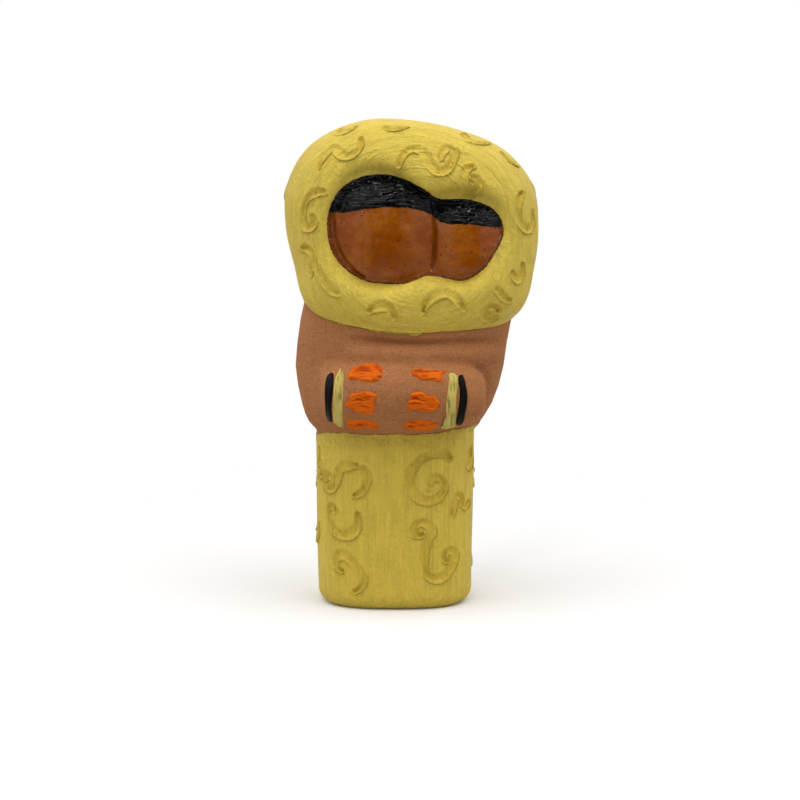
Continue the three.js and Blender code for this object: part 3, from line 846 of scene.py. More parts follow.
def ramp(tree, value, start, end, low=0.0, high=1.0):
    """A soft step from low to high as the value goes from start to end."""
    inputs = {"Value": value, "From Min": start, "From Max": end, "To Min": low, "To Max": high}
    return add(tree, "ShaderNodeMapRange", inputs, interpolation_type="SMOOTHSTEP").outputs[0]


def mix_colour(tree, share, a, b):
    return add(tree, "ShaderNodeMix", {0: share, 6: a, 7: b}, data_type="RGBA").outputs[2]


def mix_value(tree, share, a, b):
    return add(tree, "ShaderNodeMix", {0: share, 2: a, 3: b}).outputs[0]


def mix_vector(tree, share, a, b):
    return add(tree, "ShaderNodeMix", {0: share, 4: a, 5: b}, data_type="VECTOR").outputs[1]


print("a node with its inputs is now one line, as in times(tree, a, b)")

# %% [markdown]
# The rest are for finishes: new materials and groups, places in millimetres, so that a texture's
# scale is a real size, the two kinds of random texture, and colours as they look on a screen.

# %% Build finishes in few words
def place_in_mm(tree):
    """Where a point of the piece is in the figure's frame, in millimetres."""
    coordinates = add(tree, "ShaderNodeTexCoord").outputs["Object"]
    return vector_maths(tree, "MULTIPLY", coordinates, (1 / MM, 1 / MM, 1 / MM))


def material(name):
    """A new material with an empty tree."""
    made = bpy.data.materials.new(name)
    made.use_nodes = True
    made.node_tree.nodes.clear()
    return made, made.node_tree


def noise(tree, place, scale, detail=2.0, roughness=0.5, distortion=0.0):
    inputs = {"Vector": place, "Scale": scale, "Detail": detail, "Roughness": roughness,
              "Distortion": distortion}
    return add(tree, "ShaderNodeTexNoise", inputs).outputs[0]


def specks(tree, place, scale, size):
    """1 inside small round specks, each the size's share of its cell."""
    inputs = {"Vector": place, "Scale": scale, "Randomness": 1.0}
    distance = add(tree, "ShaderNodeTexVoronoi", inputs).outputs["Distance"]
    return ramp(tree, distance, size, 0.6 * size)


def srgb(red, green, blue):
    """A colour as a screen shows it, 0 to 255, turned into the linear values that a shader takes."""
    shares = (c / 255 for c in (red, green, blue))
    return (*(s / 12.92 if s <= 0.04045 else ((s + 0.055) / 1.055) ** 2.4 for s in shares), 1)


def new_group(name, inputs, outputs):
    tree = bpy.data.node_groups.new(name, "ShaderNodeTree")
    kinds = {tuple: "NodeSocketColor", float: "NodeSocketFloat", Vector: "NodeSocketVector"}
    for label, value in inputs.items():
        socket = tree.interface.new_socket(label, in_out="INPUT", socket_type=kinds[type(value)])
        socket.default_value = value
    for label, kind in outputs.items():
        tree.interface.new_socket(label, in_out="OUTPUT", socket_type=kinds[kind])
    return tree, tree.nodes.new("NodeGroupInput").outputs, tree.nodes.new("NodeGroupOutput").inputs


print("plaster white is", [round(c, 2) for c in srgb(235, 230, 220)])

# %% [markdown]
# ## Thick brushed paint
# The paint is a thick acrylic. Bristles leave fine ridges along each stroke, a loaded brush leaves
# low banks where one stroke ends on another, and where the brush ran dry or skipped a pit, what is
# under it shows through thin paint. Its colour also carries painted light: painted highlights on the
# ridges and on the lips of the tool marks, and painted shade in the valleys and the tool's grooves.
# The yellow, the hair and the stripes on the arms all share this, so it is one node group, placed in
# each material with its own colours.
# Its Stroke input is a place in which one unit across a stroke is one bristle mark.

# %% Brushed paint
brushed_paint, given, gives = new_group(
    "Brushed paint",
    {"Colour": (0.5, 0.5, 0.5, 1.0), "Thin colour": (0.2, 0.2, 0.2, 1.0), "Stroke": Vector(),
     "Place": Vector(), "Pressed": 0.0, "Crest": 0.0, "Worn": 0.0, "Ridge": 0.05, "Lumps": 0.1},
    {"Colour": tuple, "Height": float, "Roughness": float},
)
tree, ridge = brushed_paint, given["Ridge"]
bristles = noise(tree, given["Stroke"], 1.0, 3.0, 0.6, 0.35)
bands = noise(tree, given["Stroke"], 0.26, 2.0, 0.5, 0.6)
patches = noise(tree, given["Place"], 0.16, 3.0, 0.6)
grit = noise(tree, given["Place"], 2.2, 3.0, 0.65)
lumps = noise(tree, given["Place"], 0.75, 4.0, 0.7, 0.6)
to_bank = add(tree, "ShaderNodeTexVoronoi", {"Vector": given["Stroke"], "Scale": 0.16},
              feature="DISTANCE_TO_EDGE").outputs["Distance"]
bank = ramp(tree, to_bank, 0.09, 0.0)

rough_patch = ramp(tree, patches, 0.38, 0.66)
marked = times(tree, bristles, mix_value(tree, rough_patch, 0.55, 1.5))
rough = times(tree, grit, maths(tree, "MULTIPLY_ADD", given["Crest"], 1.6, 1.0))
strokes = plus(tree, marked, times(tree, bands, 1.6), times(tree, bank, 0.5), rough)
height = plus(tree, times(tree, strokes, ridge), times(tree, lumps, given["Lumps"]))

# the share of the darker thin colour: thin paint in the gaps between bristle marks and in pits where
# the tool pressed, and the darkening that the material passes in: scrubbed hatch marks with painted
# shade under the arms, and painted shade in the strokes' hollows and ridge valleys
gap = ramp(tree, plus(tree, bristles, times(tree, patches, 0.5)), 0.66, 0.5)
gap = times(tree, gap, ramp(tree, patches, 0.62, 0.36, 0.0, 0.22))
slanted = add(tree, "ShaderNodeVectorRotate", {"Vector": given["Place"], "Angle": 0.7},
              rotation_type="Y_AXIS").outputs[0]
scrubbed = noise(tree, vector_maths(tree, "MULTIPLY", slanted, (1.5, 0.8, 0.2)), 1.0, 3.0, 0.6, 0.5)
# painted shade passed in by the material, streaked with scrubbed hatching
worn_and_shaded = times(tree, given["Worn"], ramp(tree, scrubbed, 0.4, 0.66, 0.15, 0.6))
pit = ramp(tree, noise(tree, given["Place"], 0.7, 4.0, 0.7), 0.53, 0.62)
pit = times(tree, given["Pressed"], pit, ramp(tree, patches, 0.48, 0.6, 0.0, 0.5))
thin = maths(tree, "MAXIMUM", maths(tree, "MAXIMUM", gap, worn_and_shaded), pit)

# painted light on the paint: painted shade in the valleys between bristle ridges and in the tool's
# grooves, and painted highlights on the ridges and on the lips of the tool marks, over random bands
# of the paint's own tone
pale = vector_maths(tree, "MULTIPLY", given["Colour"], (1.14, 1.16, 1.35))
deep = vector_maths(tree, "MULTIPLY", given["Colour"], (0.78, 0.7, 0.3))
elsewhere = vector_maths(tree, "ADD", given["Place"], (9.3, 4.1, 2.7))
thickness = noise(tree, elsewhere, 0.13, 2.0, 0.5)
streaked = times(tree, ramp(tree, bristles, 0.6, 0.4), ramp(tree, thickness, 0.56, 0.38, 0.02, 0.14))
raised = times(tree, ramp(tree, bristles, 0.52, 0.7), ramp(tree, patches, 0.36, 0.6, 0.15, 0.6))
banded = ramp(tree, bands, 0.3, 0.75, 0.0, 0.16)
toned = mix_colour(tree, banded, given["Colour"], given["Thin colour"])
toned = mix_colour(tree, streaked, toned, given["Thin colour"])
toned = mix_colour(tree, raised, toned, pale)
# painted shade: a little deeper in the tool's grooves
toned = mix_colour(tree, times(tree, given["Pressed"], 0.05), toned, deep)
# painted highlight: paler on the lips that the tool pushed up
toned = mix_colour(tree, times(tree, given["Crest"], 0.75), toned, pale)
feed(tree, gives["Colour"], mix_colour(tree, thin, toned, given["Thin colour"]))
feed(tree, gives["Height"], height)
feed(tree, gives["Roughness"], ramp(tree, patches, 0.3, 0.7, 0.42, 0.56))
print("brushed paint has", len(tree.nodes), "nodes")

# %% [markdown]
# ## Bare clay
# The clay is a red earthenware with grog: fired clay ground to sand and mixed in. It shows as dark
# and pale grains of about a third of a millimetre, on a dull surface that was wiped smooth.

# %% Grogged clay
grogged_clay, given, gives = new_group(
    "Grogged clay", {"Place": Vector()}, {"Colour": tuple, "Height": float}
)
tree = grogged_clay
clouds = noise(tree, given["Place"], 0.09, 4.0, 0.6)
mottle = noise(tree, given["Place"], 0.9, 3.0, 0.6)
grain = noise(tree, given["Place"], 5.5, 2.0, 0.6)
wiped = noise(tree, vector_maths(tree, "MULTIPLY", given["Place"], (0.25, 0.25, 2.4)), 1.0, 3.0, 0.6)
dark_grog = specks(tree, given["Place"], 0.95, 0.17)
pale_grog = specks(tree, vector_maths(tree, "ADD", given["Place"], (3.7, 1.9, 5.3)), 0.8, 0.15)
colour = mix_colour(tree, ramp(tree, clouds, 0.3, 0.7), srgb(160, 100, 55), srgb(173, 112, 66))
colour = mix_colour(tree, ramp(tree, mottle, 0.35, 0.75, 0.0, 0.5), colour, srgb(150, 91, 56))
colour = mix_colour(tree, ramp(tree, grain, 0.45, 0.7, 0.0, 0.6), colour, srgb(206, 152, 106))
colour = mix_colour(tree, ramp(tree, wiped, 0.4, 0.75, 0.0, 0.25), colour, srgb(198, 140, 96))
colour = mix_colour(tree, times(tree, dark_grog, 0.8), colour, srgb(88, 50, 36))
colour = mix_colour(tree, times(tree, pale_grog, 0.42), colour, srgb(226, 180, 136))
feed(tree, gives["Colour"], colour)
height = plus(tree, times(tree, grain, 0.035), times(tree, mottle, 0.03), times(tree, wiped, 0.02))
height = plus(tree, height, times(tree, dark_grog, -0.04), times(tree, pale_grog, 0.03))
feed(tree, gives["Height"], height)
print("grogged clay has", len(tree.nodes), "nodes")

# %% [markdown]
# ## Honey glaze
# Inside the hood the clay is glazed: a clear brown glass over the clay, deeper in colour where it
# ran together. The colour is the clay's seen through it, with iron specks. The wet look is left to
# the shader, which is smooth here and has a thin clear coat: the pale sheens are no paint, but
# reflections of the studio. The glaze's Height gives it long slow waves, and runs at the rim.

# %% Honey glaze
honey_glaze, given, gives = new_group(
    "Honey glaze", {"Place": Vector(), "From rim": 0.0, "Pooled": 0.0},
    {"Colour": tuple, "Height": float},
)
tree = honey_glaze
clouds = noise(tree, given["Place"], 0.14, 3.0, 0.55, 0.4)
fine = noise(tree, given["Place"], 1.6, 3.0, 0.65)
colour = mix_colour(tree, ramp(tree, clouds, 0.36, 0.64), srgb(147, 71, 2), srgb(164, 90, 20))
colour = mix_colour(tree, ramp(tree, fine, 0.4, 0.7, 0.0, 0.3), colour, srgb(142, 68, 8))
near_rim = ramp(tree, given["From rim"], 2.2, 0.2, 0.0, 0.75)
colour = mix_colour(tree, near_rim, colour, srgb(132, 68, 16))
colour = mix_colour(tree, times(tree, given["Pooled"], 0.5), colour, srgb(84, 38, 8))
iron = specks(tree, given["Place"], 0.5, 0.14)
iron_dust = specks(tree, vector_maths(tree, "ADD", given["Place"], (7.1, 2.3, 4.9)), 0.9, 0.14)
specked = times(tree, maths(tree, "MAXIMUM", iron, iron_dust), 0.9)
feed(tree, gives["Colour"], mix_colour(tree, specked, colour, srgb(50, 22, 8)))
waves = times(tree, noise(tree, given["Place"], 0.22, 2.0, 0.4), 1.4)
runs = times(tree, noise(tree, given["Place"], 1.1, 1.0, 0.5), 2.0)
at_rim = ramp(tree, given["From rim"], 1.0, 0.1)
feed(tree, gives["Height"], maths(tree, "MULTIPLY_ADD", at_rim, runs, waves))
print("honey glaze has", len(tree.nodes), "nodes")

# %% [markdown]
# ## The whole surface in one material
# The figure is one piece of clay, so it has one material, which picks its finish by the borders that
# the points carry. A little noise on each measure makes the border waver as a brush does. The soft
# step over a tenth of a millimetre keeps it crisp.

# %% Paint the figure
BORDER_SOFTNESS = 0.06
PAINT_STEP = 0.12
painted_clay, tree = material("painted_fired_clay")
place = place_in_mm(tree)


def read(name, output="Fac"):
    return add(tree, "ShaderNodeAttribute", attribute_name=name).outputs[output]


def border_mask(measure, waver, scale):
    """1 inside a border that wavers by the given millimetres, and 0 outside."""
    drift = maths(tree, "SUBTRACT", noise(tree, place, scale, 3.0, 0.6), 0.5)
    return ramp(tree, plus(tree, measure, times(tree, drift, waver)), -BORDER_SOFTNESS, BORDER_SOFTNESS)


def finish(group, **inputs):
    """What a finish's group puts out, with an underscore for each space in an input's name."""
    return add(tree, "ShaderNodeGroup", {k.replace("_", " "): v for k, v in inputs.items()},
               node_tree=group).outputs


from_mark = read("from_mark")
pressed = ramp(tree, from_mark, 1.1, 0.5)
# the lips of the tool marks: raised in the bump, and given a painted highlight in the brushed paint
crest = times(tree, ramp(tree, from_mark, 0.98, 1.16), ramp(tree, from_mark, 1.52, 1.24),
              ramp(tree, read("lee"), -0.2, 0.7))
skirt_stroke = vector_maths(tree, "MULTIPLY", place, (1.9, 1.9, 0.11))
hood_stroke = vector_maths(tree, "MULTIPLY", read("hood_stroke", "Vector"), (1.7, 0.16, 0.16))
on_hood = ramp(tree, read("on_hood"), 0.4, 0.6)
stroke = mix_vector(tree, on_hood, skirt_stroke, hood_stroke)
yellow_paint = mix_colour(tree, on_hood, srgb(230, 200, 77), srgb(238, 209, 86))
yellow = finish(brushed_paint, Colour=yellow_paint, Thin_colour=srgb(158, 138, 60), Stroke=stroke,
                Place=place, Pressed=pressed, Crest=crest, Worn=read("worn_and_shaded"), Ridge=0.31, Lumps=0.6)
hair_stroke = vector_maths(tree, "MULTIPLY", place, (0.2, 0.4, 1.1))
black = finish(brushed_paint, Colour=srgb(8, 8, 10), Thin_colour=srgb(14, 12, 11), Stroke=hair_stroke,
               Place=place)
combed = plus(tree, times(tree, noise(tree, hair_stroke, 1.0, 1.0, 0.5, 0.9), 0.6),
              times(tree, noise(tree, place, 0.5, 1.0, 0.5), 0.4))
clay = finish(grogged_clay, Place=place)
glaze = finish(honey_glaze, Place=place, From_rim=read("opening"),
               Pooled=ramp(tree, read("from_groove"), 0.6, 0.1))

is_yellow = border_mask(read("yellow"), 0.7, 0.9)
is_inside = border_mask(read("opening"), 0.8, 0.55)
is_hair = times(tree, border_mask(read("hair"), 0.9, 0.7), is_inside)


def layered(mixer, bare, on_yellow, on_glaze, on_hair):
    """The value of whichever finish lies on top."""
    value = mixer(tree, is_yellow, bare, on_yellow)
    value = mixer(tree, is_inside, value, on_glaze)
    return mixer(tree, is_hair, value, on_hair)


thick_yellow = plus(tree, times(tree, crest, 0.4), yellow["Height"], PAINT_STEP)
thick_black = plus(tree, combed, PAINT_STEP)
height = layered(mix_value, clay["Height"], thick_yellow, glaze["Height"], thick_black)
bump = add(tree, "ShaderNodeBump", {"Height": height, "Distance": MM, "Strength": 1.0}).outputs[0]
colours = (group["Colour"] for group in (clay, yellow, glaze, black))
shader = add(tree, "ShaderNodeBsdfPrincipled", {
    "Base Color": layered(mix_colour, *colours),
    "Roughness": layered(mix_value, 0.86, yellow["Roughness"], 0.14, 0.1),
    "Coat Weight": layered(mix_value, 0.0, 0.0, 0.25, 0.0),
    "Coat Roughness": 0.06,
    "IOR": 1.28,
    "Normal": bump,
})
feed(tree, add(tree, "ShaderNodeOutputMaterial").inputs["Surface"], shader.outputs[0])
figure.data.materials.append(painted_clay)
print("the painted clay has", len(tree.nodes), "nodes")

# %% [markdown]
# ## Dabs and stripes with Geometry Nodes
# The marks on the arms are thick single strokes, each with an outline of its own. They repeat and
# follow the clay, which is what Geometry Nodes are for. The tree takes a mesh with one closed loop
# of edges for each stroke, turns each loop into a smooth curve, stretches a square film of paint
# over it and drops the film onto the clay.

# %% Start the tree of paint strokes
def new_tree(name, sockets):
    tree = bpy.data.node_groups.new(name, "GeometryNodeTree")
    tree.interface.new_socket("Geometry", in_out="INPUT", socket_type="NodeSocketGeometry")
    for label, (kind, value) in sockets.items():
        socket = tree.interface.new_socket(label, in_out="INPUT", socket_type=kind)
        if value is not None:
            socket.default_value = value
    tree.interface.new_socket("Geometry", in_out="OUTPUT", socket_type="NodeSocketGeometry")
    return tree, tree.nodes.new("NodeGroupInput").outputs, tree.nodes.new("NodeGroupOutput").inputs


impasto, given, gives = new_tree("Impasto strokes", {
    "Clay": ("NodeSocketObject", None),
    "Paint": ("NodeSocketMaterial", None),
    "Strokes": ("NodeSocketInt", 1),
    "Thickness": ("NodeSocketFloat", 0.3),
    "Ragged": ("NodeSocketFloat", 0.1),
    "Brushed across": ("NodeSocketFloat", 0.0),
    "Seed": ("NodeSocketFloat", 3.0),
})
tree = impasto


def named(name, kind="FLOAT_VECTOR"):
    """What the points carry under a name."""
    inputs = {"Name": name}
    return add(tree, "GeometryNodeInputNamedAttribute", inputs, data_type=kind).outputs["Attribute"]


def parts(place):
    return add(tree, "ShaderNodeSeparateXYZ", {0: place}).outputs


def vector(x, y, z):
    return add(tree, "ShaderNodeCombineXYZ", {"X": x, "Y": y, "Z": z}).outputs[0]


def stored(geometry, name, value, kind="FLOAT_VECTOR"):
    """The geometry with a value stored on its points under a name."""
    inputs = {"Geometry": geometry, "Name": name, "Value": value}
    settings = {"data_type": kind, "domain": "POINT"}
    return add(tree, "GeometryNodeStoreNamedAttribute", inputs, **settings).outputs[0]


FILM_POINTS = 33
# a square film, and its underside, which faces the other way
sheet = add(tree, "GeometryNodeMeshGrid", {
    "Size X": 2.0, "Size Y": 2.0, "Vertices X": FILM_POINTS, "Vertices Y": FILM_POINTS,
}).outputs["Mesh"]
spot = parts(add(tree, "GeometryNodeInputPosition").outputs[0])
top = stored(sheet, "film", vector(spot["X"], spot["Y"], 1.0))
turned = add(tree, "GeometryNodeFlipFaces", {"Mesh": sheet}).outputs[0]
bottom = stored(turned, "film", vector(spot["X"], spot["Y"], 0.0))
film = tree.nodes.new("GeometryNodeJoinGeometry")
for side in (top, bottom):
    feed(tree, film.inputs[0], side)
spots = add(tree, "GeometryNodeMeshLine", {"Count": given["Strokes"], "Offset": (0, 0, 0)}).outputs[0]
spots = stored(spots, "which", add(tree, "GeometryNodeInputIndex").outputs[0], "INT")
copies = add(tree, "GeometryNodeInstanceOnPoints", {"Points": spots, "Instance": film.outputs[0]})
strokes = add(tree, "GeometryNodeRealizeInstances", {0: copies.outputs[0]}).outputs[0]
print("one film has", 2 * (FILM_POINTS - 1) ** 2, "faces")

# %% [markdown]
# A point of the square knows its turn round the middle and how far out it is, and that is enough to
# find its place between the middle of the stroke and its outline. The wanted loop is picked by the
# number of the film, and the loop also carries where the brush pressed a hollow into the wet paint.

# %% Stretch each film over its outline
loops = add(tree, "GeometryNodeMeshToCurve", {"Mesh": given["Geometry"]}).outputs[0]
loops = add(tree, "GeometryNodeCurveSplineType", {"Curve": loops}, spline_type="CATMULL_ROM").outputs[0]
on_film = parts(named("film"))
sideways, upwards = (maths(tree, "ABSOLUTE", on_film[axis]) for axis in "XY")
ring = maths(tree, "MAXIMUM", sideways, upwards)
turn = maths(tree, "DIVIDE", maths(tree, "ARCTAN2", on_film["Y"], on_film["X"]), 2 * math.pi)


def on_loop(value):
    """The value, and the position, where a point's turn meets its own film's loop."""
    inputs = {"Curves": loops, "Value": value, "Factor": maths(tree, "FRACT", turn),
              "Curve Index": named("which", "INT")}
    settings = {"data_type": "FLOAT_VECTOR", "mode": "FACTOR"}
    return add(tree, "GeometryNodeSampleCurve", inputs, **settings).outputs


middle, hollow_at = on_loop(named("middle"))["Value"], parts(on_loop(named("hollow"))["Value"])
outline = vector_maths(tree, "SUBTRACT", on_loop(named("middle"))["Position"], middle)
seeded = vector_maths(tree, "ADD", middle, vector(given["Seed"], 0.0, 0.0))
ragged = noise(tree, vector_maths(tree, "ADD", outline, seeded), 1.6, 3.0, 0.65)
ragged = maths(tree, "SUBTRACT", ragged, 0.5)
reach = times(tree, ring, maths(tree, "MULTIPLY_ADD", ragged, given["Ragged"], 1.0))
flat = parts(add(tree, "ShaderNodeVectorMath", {0: outline, 1: vector(reach, reach, reach), 2: middle},
                 operation="MULTIPLY_ADD").outputs[0])
x, z = flat["X"], flat["Z"]
wire = add(tree, "GeometryNodeCurveToMesh", {"Curve": loops}).outputs[0]
to_outline = add(tree, "GeometryNodeProximity", {0: wire, "Source Position": vector(x, 0.0, z)},
                 target_element="EDGES").outputs["Distance"]
to_ring = times(tree, maths(tree, "SUBTRACT", 1.0, ring), 3.0)
from_edge = maths(tree, "MINIMUM", to_outline, to_ring)
print("so far the tree has", len(tree.nodes), "nodes")

# %% [markdown]
# Thick paint has a steep edge with a low bank inside it, ridges from the bristles and, where the
# brush was set down, a hollow with paint pushed up below it. The tree also stores a share for the
# material to colour darker: painted shade in the hollow and in the valleys between the ridges.

# %% Give the paint its thickness
rise = ramp(tree, from_edge, -0.02, 0.32, -0.06, 1.0)
bank = times(tree, ramp(tree, from_edge, 0.15, 0.5), ramp(tree, from_edge, 1.1, 0.5))
across = vector(times(tree, x, 0.25), 0.0, times(tree, z, 2.1))
upright = vector(times(tree, x, 2.1), 0.0, times(tree, z, 0.2))
brushed = mix_vector(tree, given["Brushed across"], upright, across)
ridges = noise(tree, vector_maths(tree, "ADD", brushed, seeded), 1.0, 3.0, 0.6)
ridges = maths(tree, "SUBTRACT", ridges, 0.5)

# the hollow is a flat crescent: it bends down at its ends
HOLLOW_FLATNESS, HOLLOW_BEND = 0.26, 1.5
sideways = maths(tree, "DIVIDE", maths(tree, "SUBTRACT", x, hollow_at["X"]), hollow_at["Z"])
half_height = times(tree, hollow_at["Z"], HOLLOW_FLATNESS)
upwards = maths(tree, "DIVIDE", maths(tree, "SUBTRACT", z, hollow_at["Y"]), half_height)
upwards = plus(tree, upwards, times(tree, sideways, sideways, HOLLOW_BEND))
from_hollow = vector(sideways, upwards, 0.0)
to_hollow = add(tree, "ShaderNodeVectorMath", {0: from_hollow}, operation="LENGTH").outputs["Value"]
hollow = ramp(tree, to_hollow, 1.15, 0.3)
pushed_up = times(tree, ramp(tree, to_hollow, 0.85, 1.3), ramp(tree, to_hollow, 2.6, 1.5),
                  ramp(tree, upwards, 0.2, -0.8))

body = plus(tree, rise, times(tree, pushed_up, 0.6), times(tree, bank, 0.4))
relief = plus(tree, times(tree, ridges, 1.2), times(tree, hollow, -0.75))
body = plus(tree, body, times(tree, ramp(tree, from_edge, 0.0, 0.5), relief))
above = times(tree, body, given["Thickness"])
below = times(tree, ramp(tree, from_edge, -0.02, 0.32, -0.06, -1.0), given["Thickness"])
height = mix_value(tree, on_film["Z"], below, above)
# painted shade: the hollow and the valleys between the bristle ridges, stored to be coloured darker
thin = maths(tree, "MAXIMUM", hollow, ramp(tree, ridges, 0.0, -0.16))
print("with its thickness the tree has", len(tree.nodes), "nodes")

# %% [markdown]
# Each point starts in front of the figure and flies straight back until a ray finds the clay, then
# rises along the clay's normal by its height. The film and its underside meet at the rim, where their
# points are merged, so that each stroke is a closed body.

# %% Drop the films onto the clay
IN_FRONT = -60.0
RAY_LENGTH = 100
clay_shape = add(tree, "GeometryNodeObjectInfo", {"Object": given["Clay"]}).outputs["Geometry"]
from_front = vector_maths(tree, "MULTIPLY", vector(x, IN_FRONT, z), (MM, MM, MM))
hit = add(tree, "GeometryNodeRaycast", {
    "Target Geometry": clay_shape, "Source Position": from_front, "Ray Direction": (0, 1, 0),
    "Ray Length": RAY_LENGTH * MM,
}).outputs
lifting = {0: hit["Hit Normal"], "Scale": times(tree, height, MM)}
lifted = add(tree, "ShaderNodeVectorMath", lifting, operation="SCALE").outputs[0]
on_clay = vector_maths(tree, "ADD", hit["Hit Position"], lifted)
thin_and_shade_stored = stored(strokes, "thin", thin, "FLOAT")
laid = add(tree, "GeometryNodeSetPosition", {"Geometry": thin_and_shade_stored, "Position": on_clay}).outputs[0]
sealed = add(tree, "GeometryNodeMergeByDistance", {"Geometry": laid, "Distance": 0.004 * MM}).outputs[0]
smooth = add(tree, "GeometryNodeSetShadeSmooth", {0: sealed}).outputs[0]
painted = add(tree, "GeometryNodeSetMaterial", {"Geometry": smooth, "Material": given["Paint"]})
feed(tree, gives[0], painted.outputs[0])
print("the whole tree has", len(tree.nodes), "nodes")

# %% [markdown]
# The outlines are real sizes on the arms, in millimetres, as they look from the front. The marks of
# one colour are one piece, because they were painted with one brush and one paint.

# %% List the strokes
STROKES = {
    # where the brush pressed a hollow and its half width, then the outline, all across and up;
    # a hollow at a height of 80 lies far above its stripe, which has none
    "orange_dabs": [
        ((-8.0, 65.5, 2.9), [
            (-12.2, 64.1), (-11.0, 65.6), (-8.9, 66.5), (-6.5, 67.1), (-4.8, 66.9), (-3.9, 66.2),
            (-2.8, 65.8), (-3.4, 64.8), (-3.2, 63.9), (-5.0, 62.6), (-7.8, 62.6), (-9.7, 63.0),
            (-11.6, 63.1)]),
        ((-9.2, 58.1, 1.5), [
            (-12.9, 56.8), (-11.6, 57.9), (-11.6, 59.1), (-10.4, 59.7), (-7.8, 60.1), (-5.7, 59.8),
            (-4.5, 59.1), (-5.1, 57.6), (-5.3, 56.0), (-5.7, 54.1), (-7.2, 54.1), (-10.4, 54.8),
            (-11.1, 55.5), (-12.6, 56.2)]),
        ((-9.1, 51.3, 1.3), [
            (-12.7, 50.9), (-12.4, 52.3), (-10.5, 52.5), (-7.4, 52.6), (-5.8, 52.1), (-4.4, 51.7),
            (-4.8, 49.3), (-5.8, 49.8), (-7.5, 50.3), (-10.8, 49.5), (-12.1, 50.1)]),
        ((6.0, 65.1, 1.9), [
            (4.2, 64.8), (4.8, 65.6), (6.4, 65.7), (6.8, 66.3), (7.5, 65.6), (10.3, 65.5), (13.1, 65.2),
            (13.3, 64.7), (12.3, 64.2), (11.9, 62.5), (9.7, 62.9), (7.4, 62.9), (5.1, 64.0)]),
        ((5.4, 58.4, 1.7), [
            (3.4, 56.4), (4.0, 58.3), (4.3, 59.7), (6.0, 60.1), (7.4, 59.9), (8.3, 59.3), (10.2, 59.1),
            (11.6, 57.5), (11.6, 56.2), (10.2, 55.1), (7.4, 54.9), (5.5, 55.3), (3.7, 55.4)]),
        ((4.2, 51.0, 1.2), [
            (2.6, 51.4), (3.2, 52.2), (5.1, 52.4), (7.0, 52.6), (9.6, 52.1), (11.3, 51.8), (11.2, 50.8),
            (9.9, 49.7), (7.7, 49.3), (5.6, 49.6), (4.6, 50.2), (3.2, 49.6), (2.7, 50.4)]),
    ],
    "cream_stripes": [
        ((-14.6, 80, 1), [
            (-14.1, 65.6), (-13.4, 64.8), (-13.2, 62.8), (-13.3, 58.6), (-13.4, 53.7), (-13.3, 49.9),
            (-14.3, 49.7), (-15.5, 50.3), (-16.0, 51.8), (-16.0, 56.3), (-15.8, 60.6), (-15.3, 63.5)]),
        ((14.6, 80, 1), [
            (14.1, 64.5), (15.4, 64.6), (16.2, 64.0), (16.4, 62.5), (16.0, 58.7), (16.0, 53.8),
            (15.9, 50.4), (14.7, 49.7), (12.9, 49.3), (12.0, 50.0), (12.5, 50.9), (13.3, 52.2),
            (13.3, 56.6), (13.8, 60.9), (14.0, 63.3)]),
    ],
    "black_stripes": [
        ((-17, 80, 1), [
            (-17.3, 64.0), (-16.5, 64.4), (-15.8, 63.9), (-15.9, 60.6), (-16.3, 56.2), (-16.3, 51.6),
            (-16.8, 50.9), (-17.7, 52.0), (-18.1, 56.0), (-18.1, 60.4), (-17.8, 62.9)]),
        ((17, 80, 1), [
            (16.6, 63.9), (17.5, 64.2), (18.1, 63.3), (18.5, 61.4), (18.85, 59.2), (18.8, 57.0),
            (18.4, 54.4), (18.0, 52.0), (17.5, 50.7), (16.4, 50.6), (15.9, 51.6), (16.3, 54.4),
            (16.7, 57.4), (16.8, 60.4), (16.5, 62.4)]),
    ],
}
# the colour of each paint where it is thick, and the darker colour for its thin paint and for the
# painted shade in its hollows and ridge valleys
PAINTS = {
    "orange_dabs": (srgb(234, 108, 0), srgb(168, 52, 0)),
    "cream_stripes": (srgb(216, 196, 104), srgb(126, 110, 56)),
    "black_stripes": (srgb(14, 9, 6), srgb(20, 14, 10)),
}
print({name: len(rows) for name, rows in STROKES.items()})

# %% [markdown]
# The films share the brushed paint of the hood and the skirt, in colours of their own, and turn to
# their darker colour, as painted shade, in the hollows and ridge valleys that the tree stored.

# %% Mix the paints
STROKE_ACROSS, STROKE_DOWN = (0.25, 0.5, 2.4), (2.4, 0.5, 0.22)


def brush_paint(name, colour, thin, across):
    paint, tree = material(name)
    place = place_in_mm(tree)
    stroke = vector_maths(tree, "MULTIPLY", place, STROKE_ACROSS if across else STROKE_DOWN)
    thin_and_shade_stored = add(tree, "ShaderNodeAttribute", attribute_name="thin").outputs["Fac"]
    coat = add(tree, "ShaderNodeGroup", {
        "Colour": colour, "Thin colour": thin, "Stroke": stroke, "Place": place, "Worn": thin_and_shade_stored,
        "Ridge": 0.1, "Lumps": 0.15,
    }, node_tree=brushed_paint).outputs
    shader = add(tree, "ShaderNodeBsdfPrincipled", {
        # painted shade: darker in the stored hollows and ridge valleys
        "Base Color": mix_colour(tree, times(tree, thin_and_shade_stored, 0.8), coat["Colour"], thin),
        "Roughness": 0.4, "IOR": 1.2,
        "Normal": add(tree, "ShaderNodeBump", {"Height": coat["Height"], "Distance": MM}).outputs[0],
    })
    feed(tree, add(tree, "ShaderNodeOutputMaterial").inputs["Surface"], shader.outputs[0])
    return paint


paints = {
    name: brush_paint(name + "_paint", *colours, name == "orange_dabs")
    for name, colours in PAINTS.items()
}
print("paints:", [paint.name for paint in paints.values()])

# %% [markdown]
# A dab is brushed across and a stripe downwards, so the two kinds differ in one input of the same
# tree. When the modifier has done its work, its result becomes the mesh and the modifier goes, so
# that the piece is plain geometry for everyone who uses it.

